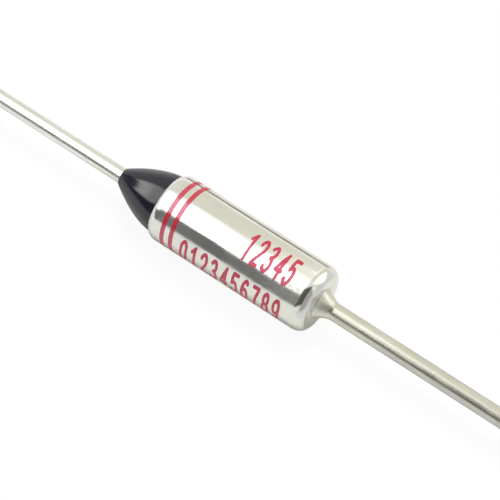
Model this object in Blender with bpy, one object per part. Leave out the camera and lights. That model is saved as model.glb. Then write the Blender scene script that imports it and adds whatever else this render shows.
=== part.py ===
"""Thermal fuse, the axial kind: a plated metal case that closes round a melting pellet.

The closed end of the case carries the case lead. The open end holds a ceramic bush, the
isolated lead and an epoxy seal. Inside, from the closed end: pellet, pressure disc, bias
spring, contact disc, star contact, and the trip spring round the isolated lead's head.

The part lies along X on its case: the seal points to -X, the case lead to +X, Z is up, and
the origin is under the middle of the overall length. Places along the axis are depths,
measured from the outside of the closed end towards the seal, so a depth grows towards -X.
"""
import math

import bmesh
import bpy

MM = 0.001

# The case
CASE_DIAMETER = 4.0 * MM
CASE_WALL = 0.25 * MM
END_WALL = 0.5 * MM
END_CORNER_RADIUS = 0.5 * MM
INNER_CORNER_RADIUS = 0.2 * MM
CRIMP_BEND_RADIUS = 0.69 * MM
CRIMP_TURN = math.radians(50.0)
SHANK_HOLE_DIAMETER = 0.84 * MM
COUNTERSINK_DIAMETER = 1.54 * MM
COUNTERSINK_DEPTH = 0.25 * MM

# The two printed rings near the seal
RING_WIDTH = 0.27 * MM
RING_PITCH = 0.57 * MM
RING_FROM_RIM = 1.02 * MM

# The case lead, riveted through the closed end
CASE_LEAD_DIAMETER = 1.0 * MM
CASE_LEAD_LENGTH = 27.0 * MM
FLANGE_DIAMETER = 1.88 * MM
FLANGE_EDGE = 0.06 * MM
FLARE_LENGTH = 0.92 * MM
FLARE_CURVE = 1.7

# The isolated lead, held by the bush and the seal
ISOLATED_LEAD_DIAMETER = 0.9 * MM
ISOLATED_LEAD_LENGTH = 27.0 * MM
LEAD_HEAD_DIAMETER = 1.5 * MM
LEAD_HEAD_THICKNESS = 0.5 * MM

# The pellet and the discs
PELLET_LENGTH = 2.5 * MM
PRESSURE_DISC_THICKNESS = 0.25 * MM
CONTACT_DISC_THICKNESS = 0.25 * MM

# The star contact, a slotted cup
STAR_THICKNESS = 0.12 * MM
STAR_PETALS = 12
STAR_HUB_DIAMETER = 2.0 * MM
STAR_BEND_RADIUS = 0.43 * MM
STAR_CUP_DEPTH = 0.8 * MM
STAR_SLOT_ANGLE = math.radians(7.0)

# The springs
BIAS_SPRING_WIRE = 0.35 * MM
BIAS_SPRING_LENGTH = 3.0 * MM
BIAS_SPRING_TURNS = 6.0
BIAS_SPRING_CLOSED_TURNS = 1.0
BIAS_SPRING_BULGE = 0.28 * MM
TRIP_SPRING_WIRE = 0.2 * MM
TRIP_SPRING_TURNS = 3.5
TRIP_SPRING_CLOSED_TURNS = 0.75

# The ceramic bush and the seal
NOSE_DIAMETER = 2.0 * MM
NOSE_LENGTH = 0.8 * MM
BUSH_LENGTH = 2.0 * MM
BUSH_CHAMFER = 0.12 * MM
SEAL_LENGTH = 3.0 * MM
SEAL_TIP_THICKNESS = 0.06 * MM
SEAL_FULLNESS = 1.6

# Clearances
SEAT_GAP = 0.02 * MM
SLIDE_GAP = 0.02 * MM
BORE_GAP = 0.05 * MM
LEAD_GAP = 0.03 * MM
COIL_GAP = 0.05 * MM

# Facets round the axis
CASE_FACETS = 24
LEAD_FACETS = 24
WIRE_FACETS = 8
COIL_STEPS_PER_TURN = 16
ARC_STEPS = 5

# Radii that follow
CASE_RADIUS = CASE_DIAMETER / 2
BORE_RADIUS = CASE_RADIUS - CASE_WALL
CRIMP_CENTRE_RADIUS = CASE_RADIUS - CRIMP_BEND_RADIUS
DISC_RADIUS = BORE_RADIUS - BORE_GAP
STAR_TIP_RADIUS = BORE_RADIUS - SLIDE_GAP
STAR_FLAT_RADIUS = STAR_TIP_RADIUS - STAR_BEND_RADIUS
CONTACT_DISC_RADIUS = STAR_FLAT_RADIUS - COIL_GAP
BUSH_BORE_RADIUS = ISOLATED_LEAD_DIAMETER / 2 + LEAD_GAP
SEAL_BORE_RADIUS = ISOLATED_LEAD_DIAMETER / 2 + SEAT_GAP

# Depths that follow, one piece behind the other
PELLET_DEPTH = END_WALL + SEAT_GAP
PRESSURE_DISC_DEPTH = PELLET_DEPTH + PELLET_LENGTH + SEAT_GAP
BIAS_SPRING_DEPTH = PRESSURE_DISC_DEPTH + PRESSURE_DISC_THICKNESS + SEAT_GAP
CONTACT_DISC_DEPTH = BIAS_SPRING_DEPTH + BIAS_SPRING_LENGTH + SEAT_GAP
STAR_DEPTH = CONTACT_DISC_DEPTH + CONTACT_DISC_THICKNESS + SEAT_GAP
LEAD_HEAD_DEPTH = STAR_DEPTH + STAR_THICKNESS + SEAT_GAP
NOSE_DEPTH = LEAD_HEAD_DEPTH + LEAD_HEAD_THICKNESS + SEAT_GAP
BUSH_DEPTH = NOSE_DEPTH + NOSE_LENGTH
BUSH_SHOULDER_RADIUS = DISC_RADIUS - CRIMP_CENTRE_RADIUS
BUSH_END_DEPTH = BUSH_DEPTH + BUSH_LENGTH
CRIMP_DEPTH = BUSH_END_DEPTH - BUSH_SHOULDER_RADIUS * math.sin(CRIMP_TURN)
RIM_DEPTH = CRIMP_DEPTH + CRIMP_BEND_RADIUS * math.sin(CRIMP_TURN)
SEAL_TIP_DEPTH = RIM_DEPTH + SEAL_LENGTH

# Places in the part's frame
OVERALL_LENGTH = CASE_LEAD_LENGTH + SEAL_TIP_DEPTH + ISOLATED_LEAD_LENGTH
CLOSED_END_X = OVERALL_LENGTH / 2 - CASE_LEAD_LENGTH
AXIS_HEIGHT = CASE_RADIUS


def clear_scene():
    """Remove every object of the scene."""
    for thing in list(bpy.data.objects):
        bpy.data.objects.remove(thing, do_unlink=True)


def make_material(name, colour, roughness, metallic):
    """A plain surface of one colour."""
    material = bpy.data.materials.new(name)
    material.use_nodes = True
    shader = material.node_tree.nodes["Principled BSDF"]
    shader.inputs["Base Color"].default_value = (*colour, 1.0)
    shader.inputs["Roughness"].default_value = roughness
    shader.inputs["Metallic"].default_value = metallic
    return material


def place(thing, depth, parent):
    """Set a thing on the axis at a depth from the closed end, carried by its parent."""
    bpy.context.collection.objects.link(thing)
    thing.parent = parent
    parent_depth = -parent.location.x if parent.parent else 0.0
    thing.location = (parent_depth - depth, 0.0, 0.0)


def make_object(name, mesh_builder, materials, depth, parent):
    """Turn a bmesh into an object whose origin lies on the axis at the given depth."""
    bmesh.ops.recalc_face_normals(mesh_builder, faces=mesh_builder.faces)
    mesh = bpy.data.meshes.new(name)
    mesh_builder.to_mesh(mesh)
    mesh_builder.free()
    for material in materials:
        mesh.materials.append(material)
    mesh.shade_smooth()
    mesh.set_sharp_from_angle(angle=math.radians(35.0))
    piece = bpy.data.objects.new(name, mesh)
    place(piece, depth, parent)
    return piece


def arc(centre, radius, start, end, steps):
    """Points of an arc in (depth, radius) terms; angle 0 points away from the axis."""
    points = []
    for step in range(steps + 1):
        angle = start + (end - start) * step / steps
        points.append((centre[0] + radius * math.sin(angle), centre[1] + radius * math.cos(angle)))
    return points


def turn(outline, facets):
    """Turn an outline of (depth, radius) points round the axis into one closed mesh.

    A radius is the distance from the axis to the flats, and one flat faces the floor, so the
    part lies on it. Points on the axis close a solid; without them the outline is a ring.
    """
    builder = bmesh.new()
    corner = 1.0 / math.cos(math.pi / facets)
    rings = []
    for depth, radius in outline:
        if radius <= 0.0:
            rings.append([builder.verts.new((-depth, 0.0, 0.0))])
            continue
        ring = []
        for step in range(facets):
            angle = 2.0 * math.pi * (step + 0.5) / facets
            ring.append(builder.verts.new((
                -depth, radius * corner * math.cos(angle), radius * corner * math.sin(angle))))
        rings.append(ring)
    following = rings[1:] + rings[:1]
    for ring, other in zip(rings, following):
        if len(ring) == 1 and len(other) == 1:
            continue
        for step in range(facets):
            after = (step + 1) % facets
            if len(ring) == 1:
                builder.faces.new((ring[0], other[step], other[after]))
            elif len(other) == 1:
                builder.faces.new((ring[step], ring[after], other[0]))
            else:
                builder.faces.new((ring[step], ring[after], other[after], other[step]))
    return builder


def shifted(outline, depth):
    """The same outline measured from a piece's own datum."""
    return [(point_depth - depth, radius) for point_depth, radius in outline]


def coil(length, wire, turns, closed_turns, mean_radius):
    """A coiled wire from depth 0 to length; mean_radius gives the radius at a share of it."""
    builder = bmesh.new()
    wire_radius = wire / 2
    closed_pitch = wire + COIL_GAP / 2
    open_turns = turns - 2 * closed_turns
    open_pitch = (length - wire - 2 * closed_turns * closed_pitch) / open_turns

    def depth_at(turned):
        """How far along the axis the wire has gone after so many turns."""
        first = min(turned, closed_turns) * closed_pitch
        middle = min(max(turned - closed_turns, 0.0), open_turns) * open_pitch
        last = max(turned - closed_turns - open_turns, 0.0) * closed_pitch
        return wire_radius + first + middle + last

    steps = round(turns * COIL_STEPS_PER_TURN)
    sections = []
    for step in range(steps + 1):
        turned = turns * step / steps
        depth = depth_at(turned)
        angle = 2.0 * math.pi * turned
        radius = mean_radius(depth / length)
        section = []
        for side in range(WIRE_FACETS):
            around = 2.0 * math.pi * (side + 0.5) / WIRE_FACETS
            reach = radius + wire_radius * math.cos(around)
            section.append(builder.verts.new((
                -(depth + wire_radius * math.sin(around)),
                reach * math.cos(angle),
                reach * math.sin(angle))))
        sections.append(section)
    for section, other in zip(sections, sections[1:]):
        for side in range(WIRE_FACETS):
            after = (side + 1) % WIRE_FACETS
            builder.faces.new((section[side], section[after], other[after], other[side]))
    builder.faces.new(sections[0])
    builder.faces.new(sections[-1])
    return builder


def ring_edges():
    """The depths at which each printed ring starts and ends, nearest the closed end first."""
    edges = []
    for number in (1, 0):
        middle = RIM_DEPTH - RING_FROM_RIM - number * RING_PITCH
        edges.append((middle - RING_WIDTH / 2, middle + RING_WIDTH / 2))
    return edges


def make_case(metal, ink, parent):
    """The drawn case: riveted closed end, straight wall and an open end crimped over the bush."""
    corner = arc((END_CORNER_RADIUS, CASE_RADIUS - END_CORNER_RADIUS), END_CORNER_RADIUS,
                 -math.pi / 2, 0.0, ARC_STEPS)
    rings = [(depth, CASE_RADIUS) for edges in ring_edges() for depth in edges]
    crimp_centre = (CRIMP_DEPTH, CRIMP_CENTRE_RADIUS)
    crimp_outside = arc(crimp_centre, CRIMP_BEND_RADIUS, 0.0, CRIMP_TURN, ARC_STEPS)
    crimp_inside = arc(crimp_centre, CRIMP_BEND_RADIUS - CASE_WALL, CRIMP_TURN, 0.0, ARC_STEPS)
    inner_corner = arc((END_WALL + INNER_CORNER_RADIUS, BORE_RADIUS - INNER_CORNER_RADIUS),
                       INNER_CORNER_RADIUS, 0.0, -math.pi / 2, ARC_STEPS - 2)
    hole_radius = SHANK_HOLE_DIAMETER / 2
    countersink = [(END_WALL, COUNTERSINK_DIAMETER / 2), (END_WALL - COUNTERSINK_DEPTH, hole_radius)]
    outline = ([(0.0, hole_radius)] + corner + rings + crimp_outside + crimp_inside
               + inner_corner + countersink)
    builder = turn(outline, CASE_FACETS)
    for face in builder.faces:
        middle = face.calc_center_median()
        outside = math.hypot(middle.y, middle.z) > CASE_RADIUS - CASE_WALL / 2
        if outside and any(first < -middle.x < last for first, last in ring_edges()):
            face.material_index = 1
    return make_object("case", builder, [metal, ink], 0.0, parent)


def make_case_lead(metal, parent):
    """The case lead: riveted head, shank through the wall, flared shoulder and wire."""
    head_radius = COUNTERSINK_DIAMETER / 2 - SEAT_GAP
    shank_radius = SHANK_HOLE_DIAMETER / 2 - SEAT_GAP
    flange_radius = FLANGE_DIAMETER / 2
    wire_radius = CASE_LEAD_DIAMETER / 2
    outline = [
        (END_WALL, 0.0),
        (END_WALL, head_radius),
        (END_WALL - COUNTERSINK_DEPTH, shank_radius),
        (-SEAT_GAP, shank_radius),
        (-SEAT_GAP, flange_radius),
    ]
    flare_start = SEAT_GAP + FLANGE_EDGE
    steps = ARC_STEPS + 1
    for step in range(steps + 1):
        share = step / steps
        radius = wire_radius + (flange_radius - wire_radius) * (1.0 - share) ** FLARE_CURVE
        outline.append((-(flare_start + (FLARE_LENGTH - flare_start) * share), radius))
    outline.append((-CASE_LEAD_LENGTH, wire_radius))
    outline.append((-CASE_LEAD_LENGTH, 0.0))
    return make_object("case_lead", turn(outline, LEAD_FACETS), [metal], 0.0, parent)


def make_isolated_lead(metal, parent):
    """The isolated lead: a flat head that the star contact touches, and a straight wire."""
    head_radius = LEAD_HEAD_DIAMETER / 2
    wire_radius = ISOLATED_LEAD_DIAMETER / 2
    edge = LEAD_HEAD_THICKNESS / 6
    tip = SEAL_TIP_DEPTH + ISOLATED_LEAD_LENGTH
    outline = [
        (LEAD_HEAD_DEPTH, 0.0),
        (LEAD_HEAD_DEPTH, head_radius - edge),
        (LEAD_HEAD_DEPTH + edge, head_radius),
        (LEAD_HEAD_DEPTH + LEAD_HEAD_THICKNESS, head_radius),
        (LEAD_HEAD_DEPTH + LEAD_HEAD_THICKNESS, wire_radius),
        (tip, wire_radius),
        (tip, 0.0),
    ]
    builder = turn(shifted(outline, LEAD_HEAD_DEPTH), LEAD_FACETS)
    return make_object("isolated_lead", builder, [metal], LEAD_HEAD_DEPTH, parent)


def make_pellet(material, parent):
    """The melting pellet, chamfered to clear the case's inner corner."""
    chamfer = INNER_CORNER_RADIUS + BORE_GAP
    outline = [
        (0.0, 0.0),
        (0.0, DISC_RADIUS - chamfer),
        (chamfer, DISC_RADIUS),
        (PELLET_LENGTH - chamfer, DISC_RADIUS),
        (PELLET_LENGTH, DISC_RADIUS - chamfer),
        (PELLET_LENGTH, 0.0),
    ]
    return make_object("thermal_pellet", turn(outline, CASE_FACETS), [material], PELLET_DEPTH, parent)


def make_disc(name, radius, thickness, depth, metal, parent):
    """A stamped disc."""
    outline = [(0.0, 0.0), (0.0, radius), (thickness, radius), (thickness, 0.0)]
    return make_object(name, turn(outline, CASE_FACETS), [metal], depth, parent)


def make_bias_spring(metal, parent):
    """The strong spring, barrel-shaped, between the two discs."""
    end_radius = CONTACT_DISC_RADIUS - COIL_GAP - BIAS_SPRING_WIRE / 2

    def barrel(share):
        """Mean radius of the coil, widest at the middle."""
        return end_radius + BIAS_SPRING_BULGE * math.sin(math.pi * share)

    builder = coil(BIAS_SPRING_LENGTH, BIAS_SPRING_WIRE, BIAS_SPRING_TURNS,
                   BIAS_SPRING_CLOSED_TURNS, barrel)
    return make_object("bias_spring", builder, [metal], BIAS_SPRING_DEPTH, parent)


def make_trip_spring(metal, parent):
    """The weak spring round the bush's nose, which lifts the star contact off the lead's head."""
    depth = STAR_DEPTH + STAR_THICKNESS + SEAT_GAP
    length = BUSH_DEPTH - SEAT_GAP - depth
    small_radius = LEAD_HEAD_DIAMETER / 2 + COIL_GAP + TRIP_SPRING_WIRE / 2
    large_radius = NOSE_DIAMETER / 2 + COIL_GAP + TRIP_SPRING_WIRE / 2

    def taper(share):
        """Mean radius of the coil, from the contact's end to the bush's end."""
        beside_nose = (NOSE_DEPTH - depth) / length
        return small_radius + (large_radius - small_radius) * min(1.0, share / beside_nose * 1.25)

    builder = coil(length, TRIP_SPRING_WIRE, TRIP_SPRING_TURNS, TRIP_SPRING_CLOSED_TURNS, taper)
    return make_object("trip_spring", builder, [metal], depth, parent)


def star_surface(offset):
    """One face of a petal, as (depth, radius) from the hub to the tip; offset is its inset."""
    bend = STAR_BEND_RADIUS - offset
    centre = (-STAR_BEND_RADIUS, STAR_FLAT_RADIUS)
    points = [(-offset, STAR_HUB_DIAMETER / 2)]
    for step in range(ARC_STEPS):
        angle = math.pi / 2 * step / (ARC_STEPS - 1)
        points.append((centre[0] + bend * math.cos(angle), centre[1] + bend * math.sin(angle)))
    points.append((-STAR_CUP_DEPTH, STAR_TIP_RADIUS - offset))
    return points


def make_star_contact(metal, parent):
    """The star contact: a flat hub whose slotted rim is bent round and slides in the bore."""
    builder = bmesh.new()
    pitch = 2.0 * math.pi / STAR_PETALS
    half_petal = (pitch - STAR_SLOT_ANGLE) / 2
    surfaces = (star_surface(0.0), star_surface(STAR_THICKNESS))
    columns = []
    for petal in range(STAR_PETALS):
        for across in (-1, 0, 1):
            angle = pitch * petal + half_petal * across
            columns.append([[
                builder.verts.new((-depth, radius * math.cos(angle), radius * math.sin(angle)))
                for depth, radius in surface] for surface in surfaces])
    for number, (back, front) in enumerate(columns):
        next_back, next_front = columns[(number + 1) % len(columns)]
        across = number % 3
        if across == 2:
            builder.faces.new((back[0], next_back[0], next_front[0], front[0]))
        else:
            builder.faces.new((back[-1], front[-1], next_front[-1], next_back[-1]))
        for row in range(len(back) - 1):
            if across < 2:
                builder.faces.new((back[row], back[row + 1], next_back[row + 1], next_back[row]))
                builder.faces.new((front[row], next_front[row], next_front[row + 1], front[row + 1]))
            if across != 1:
                builder.faces.new((back[row], front[row], front[row + 1], back[row + 1]))
    builder.faces.new([back[0] for back, front in columns])
    builder.faces.new([front[0] for back, front in columns])
    return make_object("star_contact", builder, [metal], STAR_DEPTH + STAR_THICKNESS, parent)


def make_bush(ceramic, parent):
    """The ceramic bush: a nose behind the lead's head and a body held by the crimp."""
    nose_radius = NOSE_DIAMETER / 2
    shoulder = arc((CRIMP_DEPTH, CRIMP_CENTRE_RADIUS), BUSH_SHOULDER_RADIUS, 0.0, CRIMP_TURN, ARC_STEPS)
    outline = [
        (NOSE_DEPTH, BUSH_BORE_RADIUS),
        (NOSE_DEPTH, nose_radius - BUSH_CHAMFER),
        (NOSE_DEPTH + BUSH_CHAMFER, nose_radius),
        (BUSH_DEPTH, nose_radius),
        (BUSH_DEPTH, DISC_RADIUS - BUSH_CHAMFER),
        (BUSH_DEPTH + BUSH_CHAMFER, DISC_RADIUS),
    ]
    outline += shoulder
    outline.append((BUSH_END_DEPTH, BUSH_BORE_RADIUS))
    builder = turn(shifted(outline, BUSH_DEPTH), CASE_FACETS)
    return make_object("ceramic_bush", builder, [ceramic], BUSH_DEPTH, parent)


def make_seal(epoxy, parent):
    """The epoxy seal: it fills the rim behind the bush and tapers down to the lead."""
    slope = (math.cos(CRIMP_TURN) * SEAT_GAP, math.sin(CRIMP_TURN) * SEAT_GAP)
    inside, outside = (
        (CRIMP_DEPTH + reach * math.sin(CRIMP_TURN) + slope[0],
         CRIMP_CENTRE_RADIUS + reach * math.cos(CRIMP_TURN) - slope[1])
        for reach in (CRIMP_BEND_RADIUS - CASE_WALL, CRIMP_BEND_RADIUS))
    tip_radius = SEAL_BORE_RADIUS + SEAL_TIP_THICKNESS
    outline = [(BUSH_END_DEPTH + SEAT_GAP, SEAL_BORE_RADIUS), (BUSH_END_DEPTH + SEAT_GAP, inside[1]), inside]
    steps = 2 * ARC_STEPS
    for step in range(steps + 1):
        share = step / steps
        radius = tip_radius + (outside[1] - tip_radius) * (1.0 - share ** SEAL_FULLNESS)
        outline.append((outside[0] + (SEAL_TIP_DEPTH - outside[0]) * share, radius))
    outline.append((SEAL_TIP_DEPTH, SEAL_BORE_RADIUS))
    builder = turn(shifted(outline, RIM_DEPTH), CASE_FACETS)
    return make_object("epoxy_seal", builder, [epoxy], RIM_DEPTH, parent)


def make_axis():
    """The empty at the outside of the closed end, from which every depth is measured."""
    axis = bpy.data.objects.new("part_axis", None)
    axis.empty_display_size = CASE_RADIUS
    bpy.context.collection.objects.link(axis)
    axis.location = (CLOSED_END_X, 0.0, AXIS_HEIGHT)
    return axis


def make_slide_anchor(name, depth, axis):
    """An empty on the axis that carries the pieces of one sliding group."""
    anchor = bpy.data.objects.new(name, None)
    anchor.empty_display_size = CASE_RADIUS
    place(anchor, depth, axis)
    return anchor


def main():
    """Build the whole thermal fuse."""
    clear_scene()
    tin = make_material("plated_case", (0.83, 0.83, 0.81), 0.16, 1.0)
    copper = make_material("plated_wire", (0.80, 0.78, 0.72), 0.24, 1.0)
    steel = make_material("spring_steel", (0.55, 0.56, 0.58), 0.3, 1.0)
    silver = make_material("silver_contact", (0.90, 0.88, 0.84), 0.22, 1.0)
    ink = make_material("red_ink", (0.60, 0.05, 0.10), 0.35, 0.0)
    wax = make_material("organic_pellet", (0.86, 0.84, 0.74), 0.55, 0.0)
    ceramic = make_material("white_ceramic", (0.88, 0.87, 0.83), 0.5, 0.0)
    epoxy = make_material("black_epoxy", (0.03, 0.03, 0.035), 0.15, 0.0)

    axis = make_axis()
    make_case(tin, ink, axis)
    make_case_lead(copper, axis)
    make_pellet(wax, axis)
    make_trip_spring(steel, axis)
    make_isolated_lead(copper, axis)
    make_bush(ceramic, axis)
    make_seal(epoxy, axis)

    plate = make_slide_anchor("pressure_plate_axis", PRESSURE_DISC_DEPTH, axis)
    make_disc("pressure_disc", DISC_RADIUS, PRESSURE_DISC_THICKNESS, PRESSURE_DISC_DEPTH, steel, plate)

    carriage = make_slide_anchor("contact_carriage_axis", STAR_DEPTH, axis)
    make_bias_spring(steel, carriage)
    make_disc("contact_disc", CONTACT_DISC_RADIUS, CONTACT_DISC_THICKNESS, CONTACT_DISC_DEPTH, steel,
              carriage)
    make_star_contact(silver, carriage)


main()
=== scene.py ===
"""Looks of the thermal fuse: the printed case, both leads, the seal, the inner pieces and the studio.

Every piece is turned round one axis, which runs along X from the seal to the case lead.
Places along it are depths, measured from the outside of the case's closed end, so a depth
grows towards -X. Places round it are turns, measured from the top towards +Y. Sizes are in
metres and angles in radians, unless a name says otherwise.
"""
import logging
import math
from collections.abc import Callable, Sequence
from dataclasses import dataclass, field
from enum import Enum

import bmesh
import bpy
import numpy as np
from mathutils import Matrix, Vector, noise


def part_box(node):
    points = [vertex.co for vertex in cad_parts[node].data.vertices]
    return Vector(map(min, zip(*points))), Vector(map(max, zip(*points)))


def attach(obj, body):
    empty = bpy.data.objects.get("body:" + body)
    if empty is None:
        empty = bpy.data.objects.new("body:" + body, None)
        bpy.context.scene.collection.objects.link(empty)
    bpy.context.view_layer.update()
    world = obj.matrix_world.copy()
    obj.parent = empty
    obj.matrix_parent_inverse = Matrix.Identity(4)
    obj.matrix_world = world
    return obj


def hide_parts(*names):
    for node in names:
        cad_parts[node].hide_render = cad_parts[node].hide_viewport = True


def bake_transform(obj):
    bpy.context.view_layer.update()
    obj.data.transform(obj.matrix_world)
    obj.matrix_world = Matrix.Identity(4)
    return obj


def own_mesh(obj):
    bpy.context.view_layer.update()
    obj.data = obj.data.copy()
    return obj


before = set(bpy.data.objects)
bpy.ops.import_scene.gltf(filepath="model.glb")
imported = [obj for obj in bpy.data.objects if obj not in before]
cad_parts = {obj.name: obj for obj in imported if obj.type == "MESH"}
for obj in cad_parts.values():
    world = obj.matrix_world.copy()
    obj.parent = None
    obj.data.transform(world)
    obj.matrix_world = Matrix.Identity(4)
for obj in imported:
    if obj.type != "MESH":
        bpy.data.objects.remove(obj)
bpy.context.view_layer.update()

LOG = logging.getLogger("thermal_fuse")
MM = 0.001
FULL_TURN = 2.0 * math.pi
QUARTER_TURN = math.pi / 2
CASE_RADIUS = 1.994 * MM
END_WALL = 0.5 * MM
RIVET_CONE = 0.25 * MM
CRIMP_DEPTH = 9.7612 * MM
CRIMP_TURN = math.radians(50.0)
BOW_STEP_DEGREES = 12.0
LEAST_CELL_SHARE = 0.02

Point = tuple[float, float]
Colour = tuple[float, float, float]
Relief = Callable[[float, float], float]


class Body(Enum):
    """The bodies that pieces ride on."""

    HOUSING = "housing"
    CARRIAGE = "contact_carriage"
    PLATE = "pressure_plate"


class Slot(Enum):
    """The material slots of the record."""

    CASE = "plated_case"
    WIRE = "plated_wire"
    EPOXY = "black_epoxy"
    CERAMIC = "white_ceramic"
    PELLET = "organic_pellet"
    STEEL = "spring_steel"
    SILVER = "silver_contact"


class Fineness(Enum):
    """How many segments a turned piece has round the axis."""

    CASE = 192
    SEAL = 144
    WIRE = 72
    HIDDEN = 96


@dataclass(frozen=True)
class PartAxis:
    """The line that every piece is turned round.

    Args:
        closed_end_x: Where the outside of the closed end lies along X.
        height: Height of the line above the floor.
    """

    closed_end_x: float
    height: float

    @classmethod
    def of_case(cls) -> "PartAxis":
        """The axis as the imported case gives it."""
        low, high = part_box("case")
        return cls(closed_end_x=high.x, height=(low.z + high.z) / 2)

    def point(self, depth: float, radius: float, turn: float) -> Vector:
        """Point in space.

        Args:
            depth: Distance behind the closed end.
            radius: Distance from the axis.
            turn: Angle round the axis, from the top towards +Y.

        Returns:
            The point in the part's frame.
        """
        across, up = radius * math.sin(turn), radius * math.cos(turn)
        return Vector((self.closed_end_x - depth, across, self.height + up))

    def depth_of(self, x: float) -> float:
        """Depth of a place that is given along X."""
        return self.closed_end_x - x


AXIS = PartAxis.of_case()


def arc(centre: Point, radius: float, start: float, end: float, steps: int) -> list[Point]:
    """Points of an arc in a turned outline.

    Args:
        centre: Depth and radius of the arc's centre.
        radius: Radius of the arc.
        start: First angle; angle 0 points away from the axis and a quarter turn to the seal.
        end: Last angle.
        steps: How many chords the arc has.

    Returns:
        Depth and radius of each point.
    """
    points = []
    for step in range(steps + 1):
        angle = start + (end - start) * step / steps
        points.append((centre[0] + radius * math.sin(angle), centre[1] + radius * math.cos(angle)))
    return points


def turned(outline: Sequence[Point], fineness: Fineness, relief: Relief | None = None) -> bmesh.types.BMesh:
    """Turn an outline round the axis into one closed mesh.

    Args:
        outline: Depth and radius of each point. Points on the axis close a solid, and
            without them the outline closes on itself as a ring.
        fineness: How many segments go round.
        relief: What the surface stands proud by, at a depth and a turn.

    Returns:
        The mesh, with its faces pointing out.
    """
    builder = bmesh.new()
    segments = fineness.value
    rings = []
    for depth, radius in outline:
        if radius <= 0.0:
            rings.append([builder.verts.new(AXIS.point(depth, 0.0, 0.0))])
            continue
        ring = []
        for segment in range(segments):
            turn = FULL_TURN * segment / segments
            proud = relief(depth, turn) if relief else 0.0
            ring.append(builder.verts.new(AXIS.point(depth, radius + proud, turn)))
        rings.append(ring)
    for ring, other in zip(rings, rings[1:] + rings[:1]):
        if len(ring) == 1 and len(other) == 1:
            continue
        for segment in range(segments):
            after = (segment + 1) % segments
            if len(ring) == 1:
                builder.faces.new((ring[0], other[segment], other[after]))
            elif len(other) == 1:
                builder.faces.new((ring[segment], ring[after], other[0]))
            else:
                builder.faces.new((ring[segment], ring[after], other[after], other[segment]))
    bmesh.ops.recalc_face_normals(builder, faces=builder.faces)
    return builder


def join_sections(builder: bmesh.types.BMesh, sections: Sequence[Sequence[bmesh.types.BMVert]],
                  closed: bool) -> None:
    """Join the loops of vertices along a tube with bands of faces.

    Args:
        builder: Mesh that takes the faces.
        sections: The loops, each with as many vertices as the next.
        closed: Whether the last loop joins the first.
    """
    following = [*sections[1:], sections[0]] if closed else sections[1:]
    for section, other in zip(sections, following):
        for number, vertex in enumerate(section):
            after = (number + 1) % len(section)
            builder.faces.new((vertex, section[after], other[after], other[number]))


def as_piece(name: str, builder: bmesh.types.BMesh, sharp_degrees: float = 30.0) -> bpy.types.Object:
    """Make a mesh into an object of the scene.

    Args:
        name: Name of the piece.
        builder: The mesh, which is used up.
        sharp_degrees: Edges that turn by more than this stay sharp.

    Returns:
        The object, shaded smooth, with no material yet.
    """
    mesh = bpy.data.meshes.new(name)
    builder.to_mesh(mesh)
    builder.free()
    mesh.shade_smooth()
    mesh.set_sharp_from_angle(angle=math.radians(sharp_degrees))
    piece = bpy.data.objects.new(name, mesh)
    bpy.context.scene.collection.objects.link(piece)
    return piece


class NodeSheet:
    """A node tree that is filled by short calls."""

    def __init__(self, tree: bpy.types.NodeTree) -> None:
        """Start on a tree.

        Args:
            tree: The node tree of a material, a world or a group.
        """
        self.tree = tree

    def add(self, kind: str, **settings: object) -> bpy.types.Node:
        """Add a node.

        Args:
            kind: Blender's name for the type of node.
            settings: Properties of the node to set.

        Returns:
            The new node.
        """
        node = self.tree.nodes.new(kind)
        for name, value in settings.items():
            setattr(node, name, value)
        return node

    def feed(self, node: bpy.types.Node, **inputs: object) -> bpy.types.Node:
        """Feed a node's inputs.

        Args:
            node: The node to feed.
            inputs: For each input, by its name with _ for spaces or by in_ and its number,
                an output socket to link or a plain value to set.

        Returns:
            The same node.
        """
        for name, value in inputs.items():
            number = name.removeprefix("in_")
            socket = node.inputs[int(number) if number.isdigit() else name.replace("_", " ")]
            if isinstance(value, bpy.types.NodeSocket):
                self.tree.links.new(value, socket)
            else:
                socket.default_value = value
        return node

    def math(self, operation: str, first: object, second: object = 0.0) -> bpy.types.NodeSocket:
        """Do one sum.

        Args:
            operation: Blender's name for the sum.
            first: The first value, as a socket or a number.
            second: The second one.

        Returns:
            The result's socket.
        """
        node = self.add("ShaderNodeMath", operation=operation)
        self.feed(node, in_0=first, in_1=second)
        return node.outputs[0]

    def ramp(self, value: object, start: float, end: float, low: float, high: float) -> bpy.types.NodeSocket:
        """A value carried smoothly from one range to another.

        Args:
            value: The value or the socket that gives it.
            start: Where the result is low.
            end: Where the result is high.
            low: Result at the start and before.
            high: Result at the end and after.

        Returns:
            The result's socket.
        """
        node = self.add("ShaderNodeMapRange", interpolation_type="SMOOTHSTEP")
        self.feed(node, Value=value, From_Min=start, From_Max=end, To_Min=low, To_Max=high)
        return node.outputs["Result"]

    def span(self, value: object, start: object, end: object, fade: float) -> bpy.types.NodeSocket:
        """A share that is 1 from a start to an end and fades out past both.

        Args:
            value: The socket that is looked at.
            start: Where the span starts, as a socket or a number.
            end: Where it ends.
            fade: Half the width over which each edge fades.

        Returns:
            The share's socket.
        """
        rise = self.ramp(self.math("SUBTRACT", value, start), -fade, fade, 0.0, 1.0)
        fall = self.ramp(self.math("SUBTRACT", value, end), -fade, fade, 1.0, 0.0)
        return self.math("MULTIPLY", rise, fall)

    def blend(self, share: object, first: object, second: object) -> bpy.types.NodeSocket:
        """Mix two colours.

        Args:
            share: Share of the second colour.
            first: The first colour, as a socket or a value.
            second: The second one.

        Returns:
            The mixed colour's socket.
        """
        node = self.add("ShaderNodeMix", data_type="RGBA")
        self.feed(node, in_0=share, in_6=first, in_7=second)
        return node.outputs[2]


def opaque(colour: Colour) -> tuple[float, float, float, float]:
    """A colour with full alpha, as sockets take it."""
    return (*colour, 1.0)


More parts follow.
